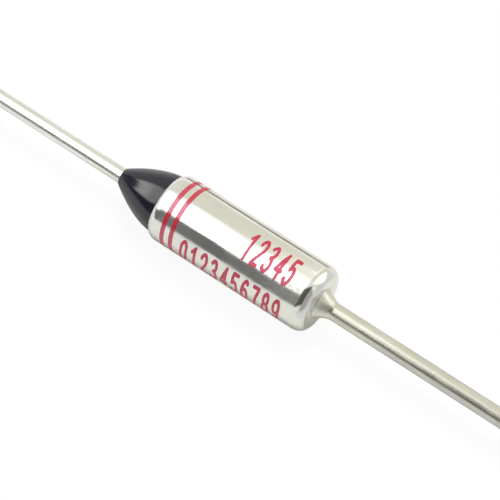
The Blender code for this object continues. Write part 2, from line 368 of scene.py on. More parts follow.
class Effect(Enum):
    """The surface effects that several materials share."""

    RIPPLE = "surface_ripple"
    SCRATCHES = "fine_scratches"
    HANDLING = "handling_marks"
    SPECKS = "small_specks"


class EffectShelf:
    """Builds each shared effect once, as a shader node group, and hands it out."""

    def __init__(self) -> None:
        """Build all the groups."""
        self.groups = {
            Effect.RIPPLE: self.make_ripple(),
            Effect.SCRATCHES: self.make_scratches(),
            Effect.HANDLING: self.make_handling(),
            Effect.SPECKS: self.make_specks(),
        }

    @staticmethod
    def start(effect: Effect, inputs: dict[str, float],
              output: str) -> tuple[NodeSheet, bpy.types.Node, bpy.types.Node]:
        """Start a group that puts out one value.

        Args:
            effect: The effect, which names the group.
            inputs: Name and plain value of each input.
            output: Name of the output.

        Returns:
            The group's sheet, its input node and its output node.
        """
        tree = bpy.data.node_groups.new(effect.value, "ShaderNodeTree")
        for name, value in inputs.items():
            socket = tree.interface.new_socket(name, in_out="INPUT", socket_type="NodeSocketFloat")
            socket.default_value = value
        tree.interface.new_socket(output, in_out="OUTPUT", socket_type="NodeSocketFloat")
        sheet = NodeSheet(tree)
        return sheet, sheet.add("NodeGroupInput"), sheet.add("NodeGroupOutput")

    @staticmethod
    def stretched_place(sheet: NodeSheet, given: bpy.types.Node) -> bpy.types.NodeSocket:
        """Count the place on the piece in the group's Grain, drawn out along X by its Stretch.

        Args:
            sheet: The group's sheet.
            given: Its input node.

        Returns:
            The place's socket.
        """
        place = sheet.add("ShaderNodeTexCoord").outputs["Object"]
        parts = sheet.feed(sheet.add("ShaderNodeSeparateXYZ"), Vector=place)
        along = sheet.math("DIVIDE", parts.outputs[0], given.outputs["Stretch"])
        joined = sheet.add("ShaderNodeCombineXYZ")
        sheet.feed(joined, X=along, Y=parts.outputs[1], Z=parts.outputs[2])
        scaled = sheet.add("ShaderNodeVectorMath", operation="SCALE")
        per_metre = sheet.math("DIVIDE", 1.0, given.outputs["Grain"])
        sheet.feed(scaled, Vector=joined.outputs[0], Scale=per_metre)
        return scaled.outputs[0]

    def make_ripple(self) -> bpy.types.NodeTree:
        """Make soft unevenness, as plating and cast resin have.

        Returns:
            The group. Grain is the unevenness's size and Detail its roughness.
        """
        sheet, given, put = self.start(
            Effect.RIPPLE, {"Grain": 0.5 * MM, "Stretch": 1.0, "Detail": 2.0}, "Height")
        cloud = sheet.add("ShaderNodeTexNoise")
        sheet.feed(cloud, Vector=self.stretched_place(sheet, given), Scale=1.0,
                   Detail=given.outputs["Detail"], Roughness=0.45)
        sheet.feed(put, Height=cloud.outputs[0])
        return sheet.tree

    def make_scratches(self) -> bpy.types.NodeTree:
        """Make fine lines along X, as a drawing die or a slide in a tray leaves.

        Returns:
            The group. Cover is the lines' share of the surface.
        """
        sheet, given, put = self.start(
            Effect.SCRATCHES, {"Grain": 0.03 * MM, "Stretch": 60.0, "Cover": 0.3}, "Mask")
        cloud = sheet.add("ShaderNodeTexNoise")
        sheet.feed(cloud, Vector=self.stretched_place(sheet, given), Scale=1.0, Detail=1.0, Roughness=0.5)
        edge = sheet.math("SUBTRACT", 0.72, sheet.math("MULTIPLY", given.outputs["Cover"], 0.3))
        over = sheet.math("SUBTRACT", cloud.outputs[0], edge)
        sheet.feed(put, Mask=sheet.ramp(over, 0.0, 0.08, 0.0, 1.0))
        return sheet.tree

    def make_handling(self) -> bpy.types.NodeTree:
        """Make cloudy patches, where a surface was touched or dulled.

        Returns:
            The group. Cover is the patches' share of the surface.
        """
        sheet, given, put = self.start(
            Effect.HANDLING, {"Grain": 1.2 * MM, "Stretch": 1.6, "Cover": 0.5}, "Mask")
        cloud = sheet.add("ShaderNodeTexNoise")
        sheet.feed(cloud, Vector=self.stretched_place(sheet, given), Scale=1.0, Detail=4.0,
                   Roughness=0.6, Distortion=0.6)
        edge = sheet.math("SUBTRACT", 0.75, sheet.math("MULTIPLY", given.outputs["Cover"], 0.5))
        over = sheet.math("SUBTRACT", cloud.outputs[0], edge)
        sheet.feed(put, Mask=sheet.ramp(over, -0.12, 0.12, 0.0, 1.0))
        return sheet.tree

    def make_specks(self) -> bpy.types.NodeTree:
        """Make small separate dots, such as pinholes and dust.

        Returns:
            The group. Size is a dot's radius as a share of the dots' spacing.
        """
        sheet, given, put = self.start(
            Effect.SPECKS, {"Grain": 0.15 * MM, "Stretch": 1.0, "Size": 0.18}, "Mask")
        cells = sheet.add("ShaderNodeTexVoronoi")
        sheet.feed(cells, Vector=self.stretched_place(sheet, given), Scale=1.0)
        edge = sheet.math("SUBTRACT", given.outputs["Size"], cells.outputs["Distance"])
        sheet.feed(put, Mask=sheet.ramp(edge, 0.0, 0.06, 0.0, 1.0))
        return sheet.tree

    def place(self, sheet: NodeSheet, effect: Effect, **values: float) -> bpy.types.NodeSocket:
        """Place an effect in a material.

        Args:
            sheet: The material's sheet.
            effect: Which effect.
            values: The group's inputs for this material.

        Returns:
            The effect's output socket.
        """
        node = sheet.add("ShaderNodeGroup", node_tree=self.groups[effect])
        sheet.feed(node, **values)
        return node.outputs[0]


EFFECTS = EffectShelf()


def shader_sheet(name: str) -> tuple[bpy.types.Material, NodeSheet, bpy.types.Node]:
    """Start a material.

    Args:
        name: Name of the material.

    Returns:
        The material, its sheet and its Principled shader.
    """
    material = bpy.data.materials.new(name)
    material.use_nodes = True
    sheet = NodeSheet(material.node_tree)
    return material, sheet, material.node_tree.nodes["Principled BSDF"]


@dataclass(frozen=True)
class PlatedMetal:
    """A plated or bare metal surface.

    Args:
        name: Name of the material.
        clean: Colour where the metal is clean.
        dulled: Colour where it has been handled.
        polish: Roughness where it is clean.
        dull_polish: Roughness where it has been handled.
        ripple_grain: Size of the plating's unevenness.
        ripple_height: How far that unevenness rises.
        stretch: How far marks are drawn out along the part.
        scratch_depth: How far the fine lines cut in.
        scratch_cover: Share of the surface that they cover.
        ripple_stretch: How far the unevenness is drawn out along the part.
    """

    name: str
    clean: Colour
    dulled: Colour
    polish: float
    dull_polish: float
    ripple_grain: float
    ripple_height: float
    stretch: float
    scratch_depth: float
    scratch_cover: float
    ripple_stretch: float = 1.0

    def material(self) -> bpy.types.Material:
        """Mix the finish.

        Returns:
            The material, with ripple and fine lines as bump, and handling in colour and polish.
        """
        material, sheet, shader = shader_sheet(self.name)
        touched = EFFECTS.place(sheet, Effect.HANDLING, Grain=1.4 * MM, Stretch=1.8, Cover=0.5)
        lines = EFFECTS.place(sheet, Effect.SCRATCHES, Grain=0.03 * MM, Stretch=self.stretch,
                              Cover=self.scratch_cover)
        wave = EFFECTS.place(sheet, Effect.RIPPLE, Grain=self.ripple_grain,
                             Stretch=self.ripple_stretch, Detail=2.0)
        colour = sheet.blend(touched, opaque(self.clean), opaque(self.dulled))
        polish = sheet.ramp(touched, 0.0, 1.0, self.polish, self.dull_polish)
        waves = sheet.feed(sheet.add("ShaderNodeBump"), Strength=1.0, Distance=self.ripple_height,
                           Height=wave)
        cuts = sheet.feed(sheet.add("ShaderNodeBump", invert=True), Strength=1.0,
                          Distance=self.scratch_depth, Height=lines, Normal=waves.outputs[0])
        sheet.feed(shader, Base_Color=colour, Roughness=polish, Metallic=1.0, Normal=cuts.outputs[0])
        return material


@dataclass(frozen=True)
class PrintInk:
    """Screen-printed ink on bright metal: the metal gleams through it a little.

    Args:
        name: Name of the material.
        full: Colour where the film is thick.
        thin: Colour where it is thin.
        metal_share: How much of the metal's gleam comes through.
        ior: Refractive index that gives the film its gleam, with the metal's under it.
        gleam_tint: Colour of that gleam.
        polish: Roughness of the film.
        film: Thickness of the film's unevenness.
    """

    name: str
    full: Colour
    thin: Colour
    metal_share: float
    ior: float
    gleam_tint: Colour
    polish: float
    film: float

    def material(self) -> bpy.types.Material:
        """Mix the ink.

        Returns:
            The material, with thin places and pinholes in the film.
        """
        material, sheet, shader = shader_sheet(self.name)
        thinner = EFFECTS.place(sheet, Effect.HANDLING, Grain=0.35 * MM, Stretch=1.0, Cover=0.4)
        pinholes = EFFECTS.place(sheet, Effect.SPECKS, Grain=0.12 * MM, Stretch=1.0, Size=0.12)
        wave = EFFECTS.place(sheet, Effect.RIPPLE, Grain=0.09 * MM, Stretch=1.0, Detail=3.0)
        colour = sheet.blend(thinner, opaque(self.full), opaque(self.thin))
        bare = sheet.ramp(pinholes, 0.0, 1.0, self.metal_share, min(1.0, self.metal_share + 0.3))
        film = sheet.feed(sheet.add("ShaderNodeBump"), Strength=1.0, Distance=self.film, Height=wave)
        sheet.feed(shader, Base_Color=colour, Roughness=self.polish, Metallic=bare, IOR=self.ior,
                   Specular_IOR_Level=1.0, Specular_Tint=opaque(self.gleam_tint),
                   Normal=film.outputs[0])
        return material


@dataclass(frozen=True)
class CastResin:
    """Poured epoxy: glossy, faintly uneven, with a little dust on it.

    Args:
        name: Name of the material.
        body: Colour of the resin.
        dusty: Colour where dust lies.
        polish: Roughness of the clean resin.
        dull_polish: Roughness where it has been touched.
        ior: Refractive index.
        wave_grain: Size of the surface's slow unevenness.
        wave_height: How far it rises.
    """

    name: str
    body: Colour
    dusty: Colour
    polish: float
    dull_polish: float
    ior: float
    wave_grain: float
    wave_height: float

    def material(self) -> bpy.types.Material:
        """Mix the resin.

        Returns:
            The material, with slow waves, touched patches and dust.
        """
        material, sheet, shader = shader_sheet(self.name)
        touched = EFFECTS.place(sheet, Effect.HANDLING, Grain=0.9 * MM, Stretch=1.0, Cover=0.45)
        dust = EFFECTS.place(sheet, Effect.SPECKS, Grain=0.3 * MM, Stretch=1.0, Size=0.09)
        wave = EFFECTS.place(sheet, Effect.RIPPLE, Grain=self.wave_grain, Stretch=1.0, Detail=2.0)
        colour = sheet.blend(dust, opaque(self.body), opaque(self.dusty))
        polish = sheet.ramp(touched, 0.0, 1.0, self.polish, self.dull_polish)
        waves = sheet.feed(sheet.add("ShaderNodeBump"), Strength=1.0, Distance=self.wave_height,
                           Height=wave)
        sheet.feed(shader, Base_Color=colour, Roughness=polish, IOR=self.ior, Normal=waves.outputs[0])
        return material


@dataclass(frozen=True)
class PressedPowder:
    """A matte pressed body, such as fired ceramic or the organic pellet.

    Args:
        name: Name of the material.
        light: Main colour.
        dark: Colour of its cloudy patches.
        pore: Colour of its pores.
        polish: Roughness.
        pore_spacing: How far apart the pores are.
        pore_depth: How deep they go.
    """

    name: str
    light: Colour
    dark: Colour
    pore: Colour
    polish: float
    pore_spacing: float
    pore_depth: float

    def material(self) -> bpy.types.Material:
        """Mix the powder.

        Returns:
            The material, clouded and pitted.
        """
        material, sheet, shader = shader_sheet(self.name)
        cloud = EFFECTS.place(sheet, Effect.HANDLING, Grain=0.8 * MM, Stretch=1.0, Cover=0.5)
        pores = EFFECTS.place(sheet, Effect.SPECKS, Grain=self.pore_spacing, Stretch=1.0, Size=0.25)
        clouded = sheet.blend(cloud, opaque(self.light), opaque(self.dark))
        colour = sheet.blend(pores, clouded, opaque(self.pore))
        polish = sheet.ramp(cloud, 0.0, 1.0, self.polish, min(1.0, self.polish + 0.12))
        pits = sheet.feed(sheet.add("ShaderNodeBump", invert=True), Strength=1.0,
                          Distance=self.pore_depth, Height=pores)
        sheet.feed(shader, Base_Color=colour, Roughness=polish, Normal=pits.outputs[0])
        return material


CASE_PLATING = PlatedMetal(
    name="bright_tin_case", clean=(0.90, 0.90, 0.865), dulled=(0.85, 0.85, 0.81), polish=0.10,
    dull_polish=0.17, ripple_grain=0.30 * MM, ripple_height=0.006 * MM, stretch=1.0,
    scratch_depth=0.0003 * MM, scratch_cover=0.2, ripple_stretch=3.0)
CRIMPED_PLATING = PlatedMetal(
    name="burnished_tin_crimp", clean=(0.90, 0.90, 0.865), dulled=(0.84, 0.84, 0.80), polish=0.27,
    dull_polish=0.36, ripple_grain=0.16 * MM, ripple_height=0.004 * MM, stretch=1.0,
    scratch_depth=0.0006 * MM, scratch_cover=0.4)
ISOLATED_WIRE_PLATING = PlatedMetal(
    name="tinned_isolated_wire", clean=(0.90, 0.90, 0.85), dulled=(0.85, 0.85, 0.79), polish=0.25,
    dull_polish=0.31, ripple_grain=0.35 * MM, ripple_height=0.002 * MM, stretch=60.0,
    scratch_depth=0.0006 * MM, scratch_cover=0.6, ripple_stretch=4.0)
CASE_WIRE_PLATING = PlatedMetal(
    name="tinned_case_wire", clean=(0.78, 0.765, 0.68), dulled=(0.71, 0.695, 0.61), polish=0.25,
    dull_polish=0.33, ripple_grain=0.45 * MM, ripple_height=0.0012 * MM, stretch=60.0,
    scratch_depth=0.0003 * MM, scratch_cover=0.6, ripple_stretch=6.0)
CUT_COPPER = PlatedMetal(
    name="sheared_copper", clean=(0.86, 0.42, 0.27), dulled=(0.62, 0.32, 0.22), polish=0.32,
    dull_polish=0.45, ripple_grain=0.12 * MM, ripple_height=0.004 * MM, stretch=1.0,
    scratch_depth=0.002 * MM, scratch_cover=0.9)
SPRING_STEEL = PlatedMetal(
    name="drawn_spring_steel", clean=(0.55, 0.56, 0.58), dulled=(0.42, 0.43, 0.45), polish=0.26,
    dull_polish=0.38, ripple_grain=0.2 * MM, ripple_height=0.001 * MM, stretch=8.0,
    scratch_depth=0.0006 * MM, scratch_cover=0.5)
SILVER_PLATING = PlatedMetal(
    name="silver_plated_contact", clean=(0.93, 0.91, 0.87), dulled=(0.80, 0.76, 0.66), polish=0.16,
    dull_polish=0.28, ripple_grain=0.2 * MM, ripple_height=0.001 * MM, stretch=1.0,
    scratch_depth=0.0004 * MM, scratch_cover=0.3)
RING_INK = PrintInk(
    name="red_ring_ink", full=(0.72, 0.010, 0.028), thin=(0.76, 0.045, 0.08), metal_share=0.05,
    ior=1.76, gleam_tint=(0.60, 0.75, 1.0), polish=0.16, film=0.0006 * MM)
DIGIT_INK = PrintInk(
    name="red_digit_ink", full=(0.68, 0.010, 0.032), thin=(0.74, 0.04, 0.09), metal_share=0.05,
    ior=1.60, gleam_tint=(0.60, 0.70, 1.0), polish=0.20, film=0.0008 * MM)
BLACK_EPOXY = CastResin(
    name="black_seal_epoxy", body=(0.009, 0.010, 0.019), dusty=(0.05, 0.05, 0.055), polish=0.11,
    dull_polish=0.17, ior=1.56, wave_grain=0.8 * MM, wave_height=0.008 * MM)
FIRED_CERAMIC = PressedPowder(
    name="fired_white_ceramic", light=(0.86, 0.85, 0.80), dark=(0.80, 0.78, 0.72),
    pore=(0.72, 0.70, 0.64), polish=0.48, pore_spacing=0.05 * MM, pore_depth=0.002 * MM)
PELLET_WAX = PressedPowder(
    name="pressed_organic_pellet", light=(0.86, 0.84, 0.74), dark=(0.78, 0.74, 0.60),
    pore=(0.68, 0.64, 0.50), polish=0.55, pore_spacing=0.07 * MM, pore_depth=0.003 * MM)


@dataclass
class SubAssembly:
    """Pieces that belong together, and what they need to be shown.

    Args:
        pieces: The pieces made so far.
    """

    pieces: list[bpy.types.Object] = field(default_factory=list)

    def build(self) -> None:
        """Make the meshes."""
        raise NotImplementedError

    def dress(self) -> None:
        """Give each piece its finish."""
        raise NotImplementedError

    def carry(self, piece: bpy.types.Object, body: Body, node: str = "") -> bpy.types.Object:
        """Let a piece ride on a body and stand for a solid.

        Args:
            piece: The piece, in place.
            body: The body that carries it.
            node: The solid that it stands for, if any.

        Returns:
            The same piece.
        """
        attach(piece, body.value)
        if node:
            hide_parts(node)
        self.pieces.append(piece)
        return piece

    def coat(self, slot: Slot, *materials: bpy.types.Material) -> None:
        """Give every piece the same materials.

        Args:
            slot: The record's slot that they stand for; not used.
            materials: The materials, the first for all faces that name no other.
        """
        for piece in self.pieces:
            for material in materials:
                piece.data.materials.append(material)

    def report(self) -> None:
        """Say what was made."""
        for piece in self.pieces:
            LOG.info("%s: %s faces", piece.name, len(piece.data.polygons))


@dataclass
class CaseShell(SubAssembly):
    """The drawn case: riveted closed end, straight wall, and an open end crimped over the bush.

    Args:
        radius: Outside radius, a little inside the solid's flats to leave room for ink.
        wall: Thickness of the wall.
        end_wall: Thickness of the closed end.
        end_corner: How far the closed end's corner reaches in from the wall.
        end_draw: How far that corner reaches along the wall, which is drawn longer than it is wide.
        end_steps: Chords in the corner.
        tool_mark: Height of the faint rings that the drawing tool left round the corner.
        tool_marks: How many of them there are.
        inner_corner: Inside corner radius of the closed end.
        crimp_bend: Outside radius of the crimp's bend.
        crimp_turn: How far the crimp turns in.
        crimp_depth: Where the crimp starts.
        burnished_from: How far behind its start the tool has burnished it.
        rim_fillet: Radius of the rim's rounded edges.
        rim_steps: Chords in each of them.
        hole_radius: Radius of the rivet hole.
        countersink_radius: Radius of its countersink.
        countersink_depth: Depth of its countersink.
        turn_steps: Chords in each rounded stretch.
    """

    radius: float = CASE_RADIUS
    wall: float = 0.25 * MM
    end_wall: float = END_WALL
    end_corner: float = 0.5 * MM
    end_draw: float = 0.7 * MM
    end_steps: int = 48
    tool_mark: float = 0.0012 * MM
    tool_marks: float = 5.0
    inner_corner: float = 0.2 * MM
    crimp_bend: float = 0.69 * MM
    crimp_turn: float = CRIMP_TURN
    crimp_depth: float = CRIMP_DEPTH
    burnished_from: float = 0.30 * MM
    rim_fillet: float = 0.045 * MM
    rim_steps: int = 4
    hole_radius: float = 0.42 * MM
    countersink_radius: float = 0.77 * MM
    countersink_depth: float = RIVET_CONE
    turn_steps: int = 14

    def rim(self, centre: Point) -> list[Point]:
        """The rounded edge at the end of the crimp.

        Args:
            centre: Centre of the crimp's bend.

        Returns:
            Depth and radius of each point, from the outside to the inside.
        """
        along = (math.cos(self.crimp_turn), -math.sin(self.crimp_turn))
        points = []
        for reach, start in ((self.crimp_bend - self.rim_fillet, self.crimp_turn),
                             (self.crimp_bend - self.wall + self.rim_fillet,
                              self.crimp_turn + QUARTER_TURN)):
            middle = (centre[0] + reach * math.sin(self.crimp_turn) - along[0] * self.rim_fillet,
                      centre[1] + reach * math.cos(self.crimp_turn) - along[1] * self.rim_fillet)
            points += arc(middle, self.rim_fillet, start, start + QUARTER_TURN, self.rim_steps)
        return points

    def outline(self) -> list[Point]:
        """Draw the whole section, outside and inside.

        Returns:
            Depth and radius of each point.
        """
        bore = self.radius - self.wall
        crimp_centre = (self.crimp_depth, self.radius - self.crimp_bend)
        trim = self.rim_fillet / self.crimp_bend
        points = []
        for step in range(self.end_steps + 1):
            angle = QUARTER_TURN * (step / self.end_steps - 1.0)
            mark = self.tool_mark * math.sin(FULL_TURN * self.tool_marks * step / self.end_steps)
            points.append((self.end_draw * (1.0 + math.sin(angle)) - mark * math.sin(angle),
                           self.radius - self.end_corner * (1.0 - math.cos(angle)) - abs(mark)))
        points += arc(crimp_centre, self.crimp_bend, 0.0, self.crimp_turn - trim, self.turn_steps)
        points += self.rim(crimp_centre)
        points += arc(crimp_centre, self.crimp_bend - self.wall, self.crimp_turn - trim, 0.0,
                      self.turn_steps)
        points += arc((self.end_wall + self.inner_corner, bore - self.inner_corner),
                      self.inner_corner, 0.0, -QUARTER_TURN, self.turn_steps // 2)
        points += [
            (self.end_wall, self.countersink_radius),
            (self.end_wall - self.countersink_depth, self.hole_radius),
            (0.0, self.hole_radius),
        ]
        return points

    def build(self) -> None:
        """Make the shell."""
        shell = as_piece("case_shell", turned(self.outline(), Fineness.CASE))
        burnished = AXIS.closed_end_x - self.crimp_depth - self.burnished_from
        for face in shell.data.polygons:
            if face.center.x < burnished:
                face.material_index = 1
        self.carry(shell, Body.HOUSING, "case")

    def dress(self) -> None:
        """Plate the shell."""
        self.coat(Slot.CASE, CASE_PLATING.material(), CRIMPED_PLATING.material())


def bow(centre: Point, reach: Point, start: float, end: float) -> list[Point]:
    """Part of an ellipse in the box of one digit.

    Args:
        centre: Its centre.
        reach: Its half width and half height.
        start: First angle in degrees, 0 at the right and 90 at the top.
        end: Last angle in degrees.

    Returns:
        The points along it.
    """
    steps = max(2, round(abs(end - start) / BOW_STEP_DEGREES))
    points = []
    for step in range(steps + 1):
        angle = math.radians(start + (end - start) * step / steps)
        points.append((centre[0] + reach[0] * math.cos(angle), centre[1] + reach[1] * math.sin(angle)))
    return points


def digit_strokes(digit: str) -> list[list[Point]]:
    """The pen's strokes for one plain digit.

    Args:
        digit: A digit from 0 to 9.

    Returns:
        Each stroke's points in a box one wide and one high, from its lower left corner.
    """
    if digit == "0":
        sides = bow((0.5, 0.68), (0.5, 0.32), 0.0, 180.0) + bow((0.5, 0.32), (0.5, 0.32), 180.0, 360.0)
        return [sides + sides[:1]]
    if digit == "1":
        return [[(0.12, 0.80), (0.62, 1.0), (0.62, 0.0)]]
    if digit == "2":
        return [bow((0.5, 0.72), (0.48, 0.28), 165.0, -35.0) + [(0.0, 0.0), (1.0, 0.0)]]
    if digit == "3":
        return [bow((0.45, 0.76), (0.45, 0.24), 150.0, -90.0),
                bow((0.45, 0.26), (0.53, 0.26), 90.0, -150.0)]
    if digit == "4":
        return [[(0.74, 0.0), (0.74, 1.0), (0.0, 0.3), (1.0, 0.3)]]
    if digit == "5":
        return [[(0.94, 1.0), (0.12, 1.0), (0.08, 0.54)]
                + bow((0.46, 0.32), (0.52, 0.32), 132.0, -150.0)]
    if digit == "6":
        return [bow((0.55, 0.5), (0.55, 0.5), 55.0, 180.0)
                + bow((0.5, 0.31), (0.5, 0.31), 180.0, -180.0)]
    if digit == "7":
        return [[(0.0, 1.0), (1.0, 1.0), (0.34, 0.0)]]
    if digit == "8":
        return [bow((0.5, 0.76), (0.42, 0.24), 0.0, 360.0), bow((0.5, 0.27), (0.5, 0.27), 0.0, 360.0)]
    return [[(1.0 - across, 1.0 - up) for across, up in stroke] for stroke in digit_strokes("6")]


def distance_to_stroke(across: np.ndarray, up: np.ndarray, stroke: Sequence[Point]) -> np.ndarray:
    """How far each place of a grid is from a stroke's middle line.

    Args:
        across: Places across, one for each corner of the grid.
        up: Places up.
        stroke: The points of the line.

    Returns:
        The distance at each corner.
    """
    nearest = np.full(across.shape, np.inf)
    for (start_x, start_y), (end_x, end_y) in zip(stroke, stroke[1:]):
        run_x, run_y = end_x - start_x, end_y - start_y
        off_x, off_y = across - start_x, up - start_y
        length = max(run_x * run_x + run_y * run_y, 1e-12)
        share = np.clip((off_x * run_x + off_y * run_y) / length, 0.0, 1.0)
        nearest = np.minimum(nearest, np.hypot(off_x - share * run_x, off_y - share * run_y))
    return nearest


def fill_below_zero(builder: bmesh.types.BMesh, values: np.ndarray,
                    place_at: Callable[[float, float], Vector]) -> None:
    """Cover the part of a grid where a value is below zero, up to the exact edge.

    Args:
        builder: Mesh that takes the faces.
        values: The value at each corner of the grid, by column and row.
        place_at: The point in space of a place on the grid.
    """
    made = {}

    def corner(here: tuple[int, int]) -> bmesh.types.BMVert:
        """Find or make the vertex at a corner of the grid.

        Args:
            here: The corner's column and row.

        Returns:
            The vertex.
        """
        if here not in made:
            made[here] = builder.verts.new(place_at(*here))
        return made[here]

    def crossing(here: tuple[int, int], there: tuple[int, int]) -> bmesh.types.BMVert:
        """Find or make the vertex where the value passes zero between two corners.

        Args:
            here: One corner's column and row.
            there: The other's.

        Returns:
            The vertex, a little way off both corners so that no face is a sliver.
        """
        first, last = sorted((here, there))
        if (first, last) not in made:
            share = values[first] / (values[first] - values[last])
            share = max(LEAST_CELL_SHARE, min(1.0 - LEAST_CELL_SHARE, share))
            made[first, last] = builder.verts.new(place_at(
                first[0] + (last[0] - first[0]) * share, first[1] + (last[1] - first[1]) * share))
        return made[first, last]

    for column in range(values.shape[0] - 1):
        for row in range(values.shape[1] - 1):
            corners = [(column, row), (column + 1, row), (column + 1, row + 1), (column, row + 1)]
            inside = [values[here] < 0.0 for here in corners]
            if not any(inside):
                continue
            loop = []
            for number, here in enumerate(corners):
                after = (number + 1) % 4
                if inside[number]:
                    loop.append(corner(here))
                if inside[number] != inside[after]:
                    loop.append(crossing(here, corners[after]))
            builder.faces.new(loop)


def thicken_outward(builder: bmesh.types.BMesh, thickness: float) -> None:
    """Make an open sheet round the axis into a closed film.

    Args:
        builder: Mesh that holds the sheet, which becomes the film's underside.
        thickness: Thickness of the film.
    """
    sheet = list(builder.faces)
    rim = [edge for edge in builder.edges if edge.is_boundary]
    raised = {}
    for vertex in list(builder.verts):
        outward = Vector((0.0, vertex.co.y, vertex.co.z - AXIS.height)).normalized()
        raised[vertex] = builder.verts.new(vertex.co + outward * thickness)
    for face in sheet:
        builder.faces.new([raised[vertex] for vertex in face.verts])
    for edge in rim:
        first, last = edge.verts
        builder.faces.new((first, last, raised[last], raised[first]))
    bmesh.ops.recalc_face_normals(builder, faces=builder.faces)


@dataclass(frozen=True)
class PrintedRow:
    """One row of digits round the case.

    Args:
        name: Name of the piece.
        digits: What it says, plain counting digits only.
        start_x: Where the first digit starts along X.
        pitch: From one digit to the next.
        foot: Turn at which the digits stand, in degrees.
    """

    name: str
    digits: str
    start_x: float
    pitch: float
    foot: float


@dataclass
class CasePrint(SubAssembly):
    """The red print on the case: two rings near the seal, and two rows of plain digits.

    Args:
        case_radius: Outside radius of the case.
        film_low: Height of the ink's underside over the case.
        film_high: Height of its top over the case.
        ring_width: Width of a ring.
        ring_x: Middle of each ring along X, where it is nearest the seal.
        ring_lean: How far a ring leans towards the case lead a quarter turn from there.
        ring_lean_turn: Where it is nearest the seal, in degrees.
        ring_segments: Segments round a ring.
        digit_width: Width of a digit, from edge to edge.
        digit_height: Height of a digit, from edge to edge.
        pen_across: Half the width of an upright stroke.
        pen_up: Half the height of a level stroke.
        cell: Size of the grid that the digits are cut from.
        edge_wander: How far the ink's edges wander.
        edge_grain: Over what length they do.
        rows: The rows of digits.
    """

    case_radius: float = CASE_RADIUS
    film_low: float = 0.0004 * MM
    film_high: float = 0.0050 * MM
    ring_width: float = 0.27 * MM
    ring_x: tuple[float, float] = (-2.660 * MM, -2.085 * MM)
    ring_lean: float = 0.14 * MM
    ring_lean_turn: float = -7.0
    ring_segments: int = 360
    digit_width: float = 0.50 * MM
    digit_height: float = 1.80 * MM
    pen_across: float = 0.082 * MM
    pen_up: float = 0.135 * MM
    cell: float = 0.02 * MM
    edge_wander: float = 0.012 * MM
    edge_grain: float = 0.09 * MM
    rows: tuple[PrintedRow, ...] = (
        PrintedRow("print_row_upper", "12345", 1.895 * MM, 0.675 * MM, -34.0),
        PrintedRow("print_row_lower", "0123456789", -1.355 * MM, 0.678 * MM, -107.6),
    )

    def wander(self, x: float, arc_length: float) -> float:
        """How far the ink's edge is off its line, at a place on the unrolled case."""
        grain = self.edge_grain
        return self.edge_wander * noise.noise(Vector((x / grain, arc_length / grain, 0.5)))

    def make_ring(self, number: int) -> bmesh.types.BMesh:
        """One ring of ink, closed round the case.

        Args:
            number: Which ring, counted from the seal.

        Returns:
            The ring's mesh.
        """
        builder = bmesh.new()
        sections = []
        for segment in range(self.ring_segments):
            turn = FULL_TURN * segment / self.ring_segments
            half = Vector((math.sin(turn), math.cos(turn), 0.0)) * self.case_radius / self.edge_grain
            lean = self.ring_lean * (1.0 - math.cos(turn - math.radians(self.ring_lean_turn)))
            section = []
            for side, radii in ((-1, (self.film_low, self.film_high)), (1, (self.film_high, self.film_low))):
                off = self.edge_wander * noise.noise(half + Vector((0.0, 0.0, 3.0 * side + number)))
                x = self.ring_x[number] + lean + side * self.ring_width / 2 + off
                for lift in radii:
                    section.append(builder.verts.new(
                        AXIS.point(AXIS.depth_of(x), self.case_radius + lift, turn)))
            sections.append(section)
        join_sections(builder, sections, closed=True)
        bmesh.ops.recalc_face_normals(builder, faces=builder.faces)
        return builder

    def make_row(self, row: PrintedRow) -> bmesh.types.BMesh:
        """One row of digits as a film of ink.

        Args:
            row: What it says and where.

        Returns:
            The row's mesh.
        """
        builder = bmesh.new()
        margin = 2 * self.cell
        run_across = self.digit_width - 2 * self.pen_across
        run_up = self.digit_height - 2 * self.pen_up
        foot = math.radians(row.foot) * self.case_radius
        columns = math.ceil((self.digit_width + 2 * margin) / self.cell)
        levels = math.ceil((self.digit_height + 2 * margin) / self.cell)
        across, up = np.meshgrid(np.arange(columns + 1) * self.cell - margin,
                                 np.arange(levels + 1) * self.cell - margin, indexing="ij")
        for number, digit in enumerate(row.digits):
            left = row.start_x + number * row.pitch
            values = np.full(across.shape, np.inf)
            for stroke in digit_strokes(digit):
                in_pens = [(1.0 + place[0] * run_across / self.pen_across,
                            1.0 + place[1] * run_up / self.pen_up) for place in stroke]
                reach = distance_to_stroke(across / self.pen_across, up / self.pen_up, in_pens)
                values = np.minimum(values, reach - 1.0)
            for corner in np.ndindex(*values.shape):
                off = self.wander(left + across[corner], foot + up[corner])
                values[corner] += off / self.pen_across

            def on_case(column: float, level: float) -> Vector:
                """Lay a place of the grid on the case.

                Args:
                    column: Its place along X, counted in cells.
                    level: Its place round the case, counted in cells.

                Returns:
                    The point in space.
                """
                x = left + column * self.cell - margin
                turn = (foot + level * self.cell - margin) / self.case_radius
                return AXIS.point(AXIS.depth_of(x), self.case_radius + self.film_low, turn)

            fill_below_zero(builder, values, on_case)
        thicken_outward(builder, self.film_high - self.film_low)
        return builder

    def build(self) -> None:
        """Make the rings and the rows."""
        for number, name in enumerate(("print_ring_seal_side", "print_ring_case_side")):
            self.carry(as_piece(name, self.make_ring(number)), Body.HOUSING)
        for row in self.rows:
            self.carry(as_piece(row.name, self.make_row(row)), Body.HOUSING)

    def dress(self) -> None:
        """Ink every piece."""
        ring_ink, digit_ink = RING_INK.material(), DIGIT_INK.material()
        for number, piece in enumerate(self.pieces):
            piece.data.materials.append(ring_ink if number < len(self.ring_x) else digit_ink)


